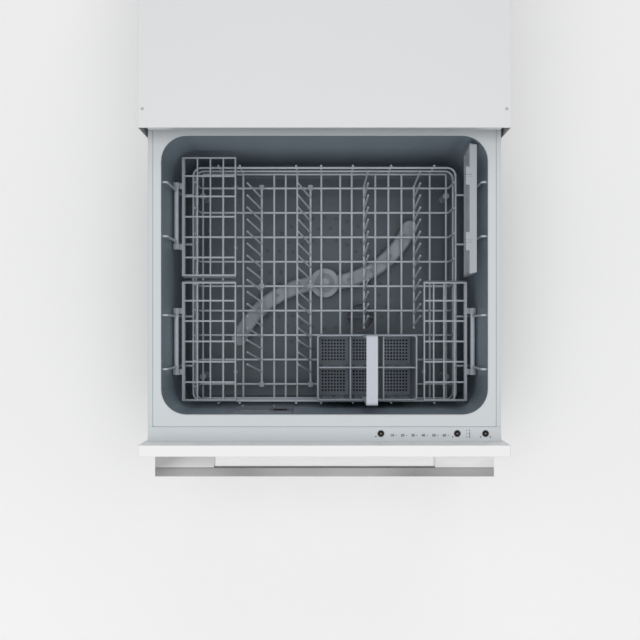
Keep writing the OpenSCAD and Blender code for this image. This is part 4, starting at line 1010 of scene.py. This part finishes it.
def world(strength, backdrop):
    """Even light, with a pale backdrop for what the camera, gloss and glass see."""
    made = bpy.data.worlds.new("studio")
    made.use_nodes = True
    tree = made.node_tree
    light = tree.nodes["Background"]
    light.inputs["Color"].default_value = (1.0, 1.0, 1.0, 1)
    light.inputs["Strength"].default_value = strength
    seen = tree.nodes.new("ShaderNodeBackground")
    seen.inputs["Color"].default_value = (1.0, 1.0, 1.0, 1)
    seen.inputs["Strength"].default_value = backdrop
    path = tree.nodes.new("ShaderNodeLightPath")
    factor = path.outputs["Is Camera Ray"]
    for name in ("Is Glossy Ray", "Is Transmission Ray"):
        highest = tree.nodes.new("ShaderNodeMath")
        highest.operation = "MAXIMUM"
        tree.links.new(factor, highest.inputs[0])
        tree.links.new(path.outputs[name], highest.inputs[1])
        factor = highest.outputs[0]
    blend = tree.nodes.new("ShaderNodeMixShader")
    tree.links.new(factor, blend.inputs["Fac"])
    tree.links.new(light.outputs[0], blend.inputs[1])
    tree.links.new(seen.outputs[0], blend.inputs[2])
    tree.links.new(blend.outputs[0], tree.nodes["World Output"].inputs["Surface"])
    bpy.context.scene.world = made


# The photograph looks straight down. FOCAL_PX and NADIR_PX are in its 640-pixel frame, the rest is in metres.
FOCAL_PX = 910.0
NADIR_PX = (324.5, 330.0)
FRAME_PX = 640.0
CAMERA_OVER_RIM = 1.5
NADIR_FROM_DOOR = 0.1845


def camera():
    """The photograph's camera: straight down, with the nadir off the middle by a shift."""
    lens = bpy.data.cameras.new("camera")
    lens.sensor_width = 36.0
    lens.lens = FOCAL_PX / FRAME_PX * lens.sensor_width
    lens.shift_x = (FRAME_PX / 2 - NADIR_PX[0]) / FRAME_PX
    lens.shift_y = (NADIR_PX[1] - FRAME_PX / 2) / FRAME_PX
    lens.clip_end = 50.0
    made = bpy.data.objects.new("camera", lens)
    made.location = (0.0, DRAWER_Y + NADIR_FROM_DOOR, rim_z + CAMERA_OVER_RIM)
    bpy.context.scene.collection.objects.link(made)
    bpy.context.scene.camera = made


floor()
world(strength=0.45, backdrop=0.85)
area_light("overhead", (-0.1, -0.5, 3.4), (0.0, -0.2, 0.3), (3.0, 3.0), 50.0, in_gloss=False)
area_light("front_fill", (-1.2, -3.0, 2.4), (0.0, -0.3, 0.2), (2.5, 1.5), 8.0)
area_light("rear_fill", (0.6, 2.8, 2.6), (0.0, -0.3, 0.3), (2.5, 1.5), 14.0)
camera()

bpy.context.scene.view_settings.view_transform = "Standard"
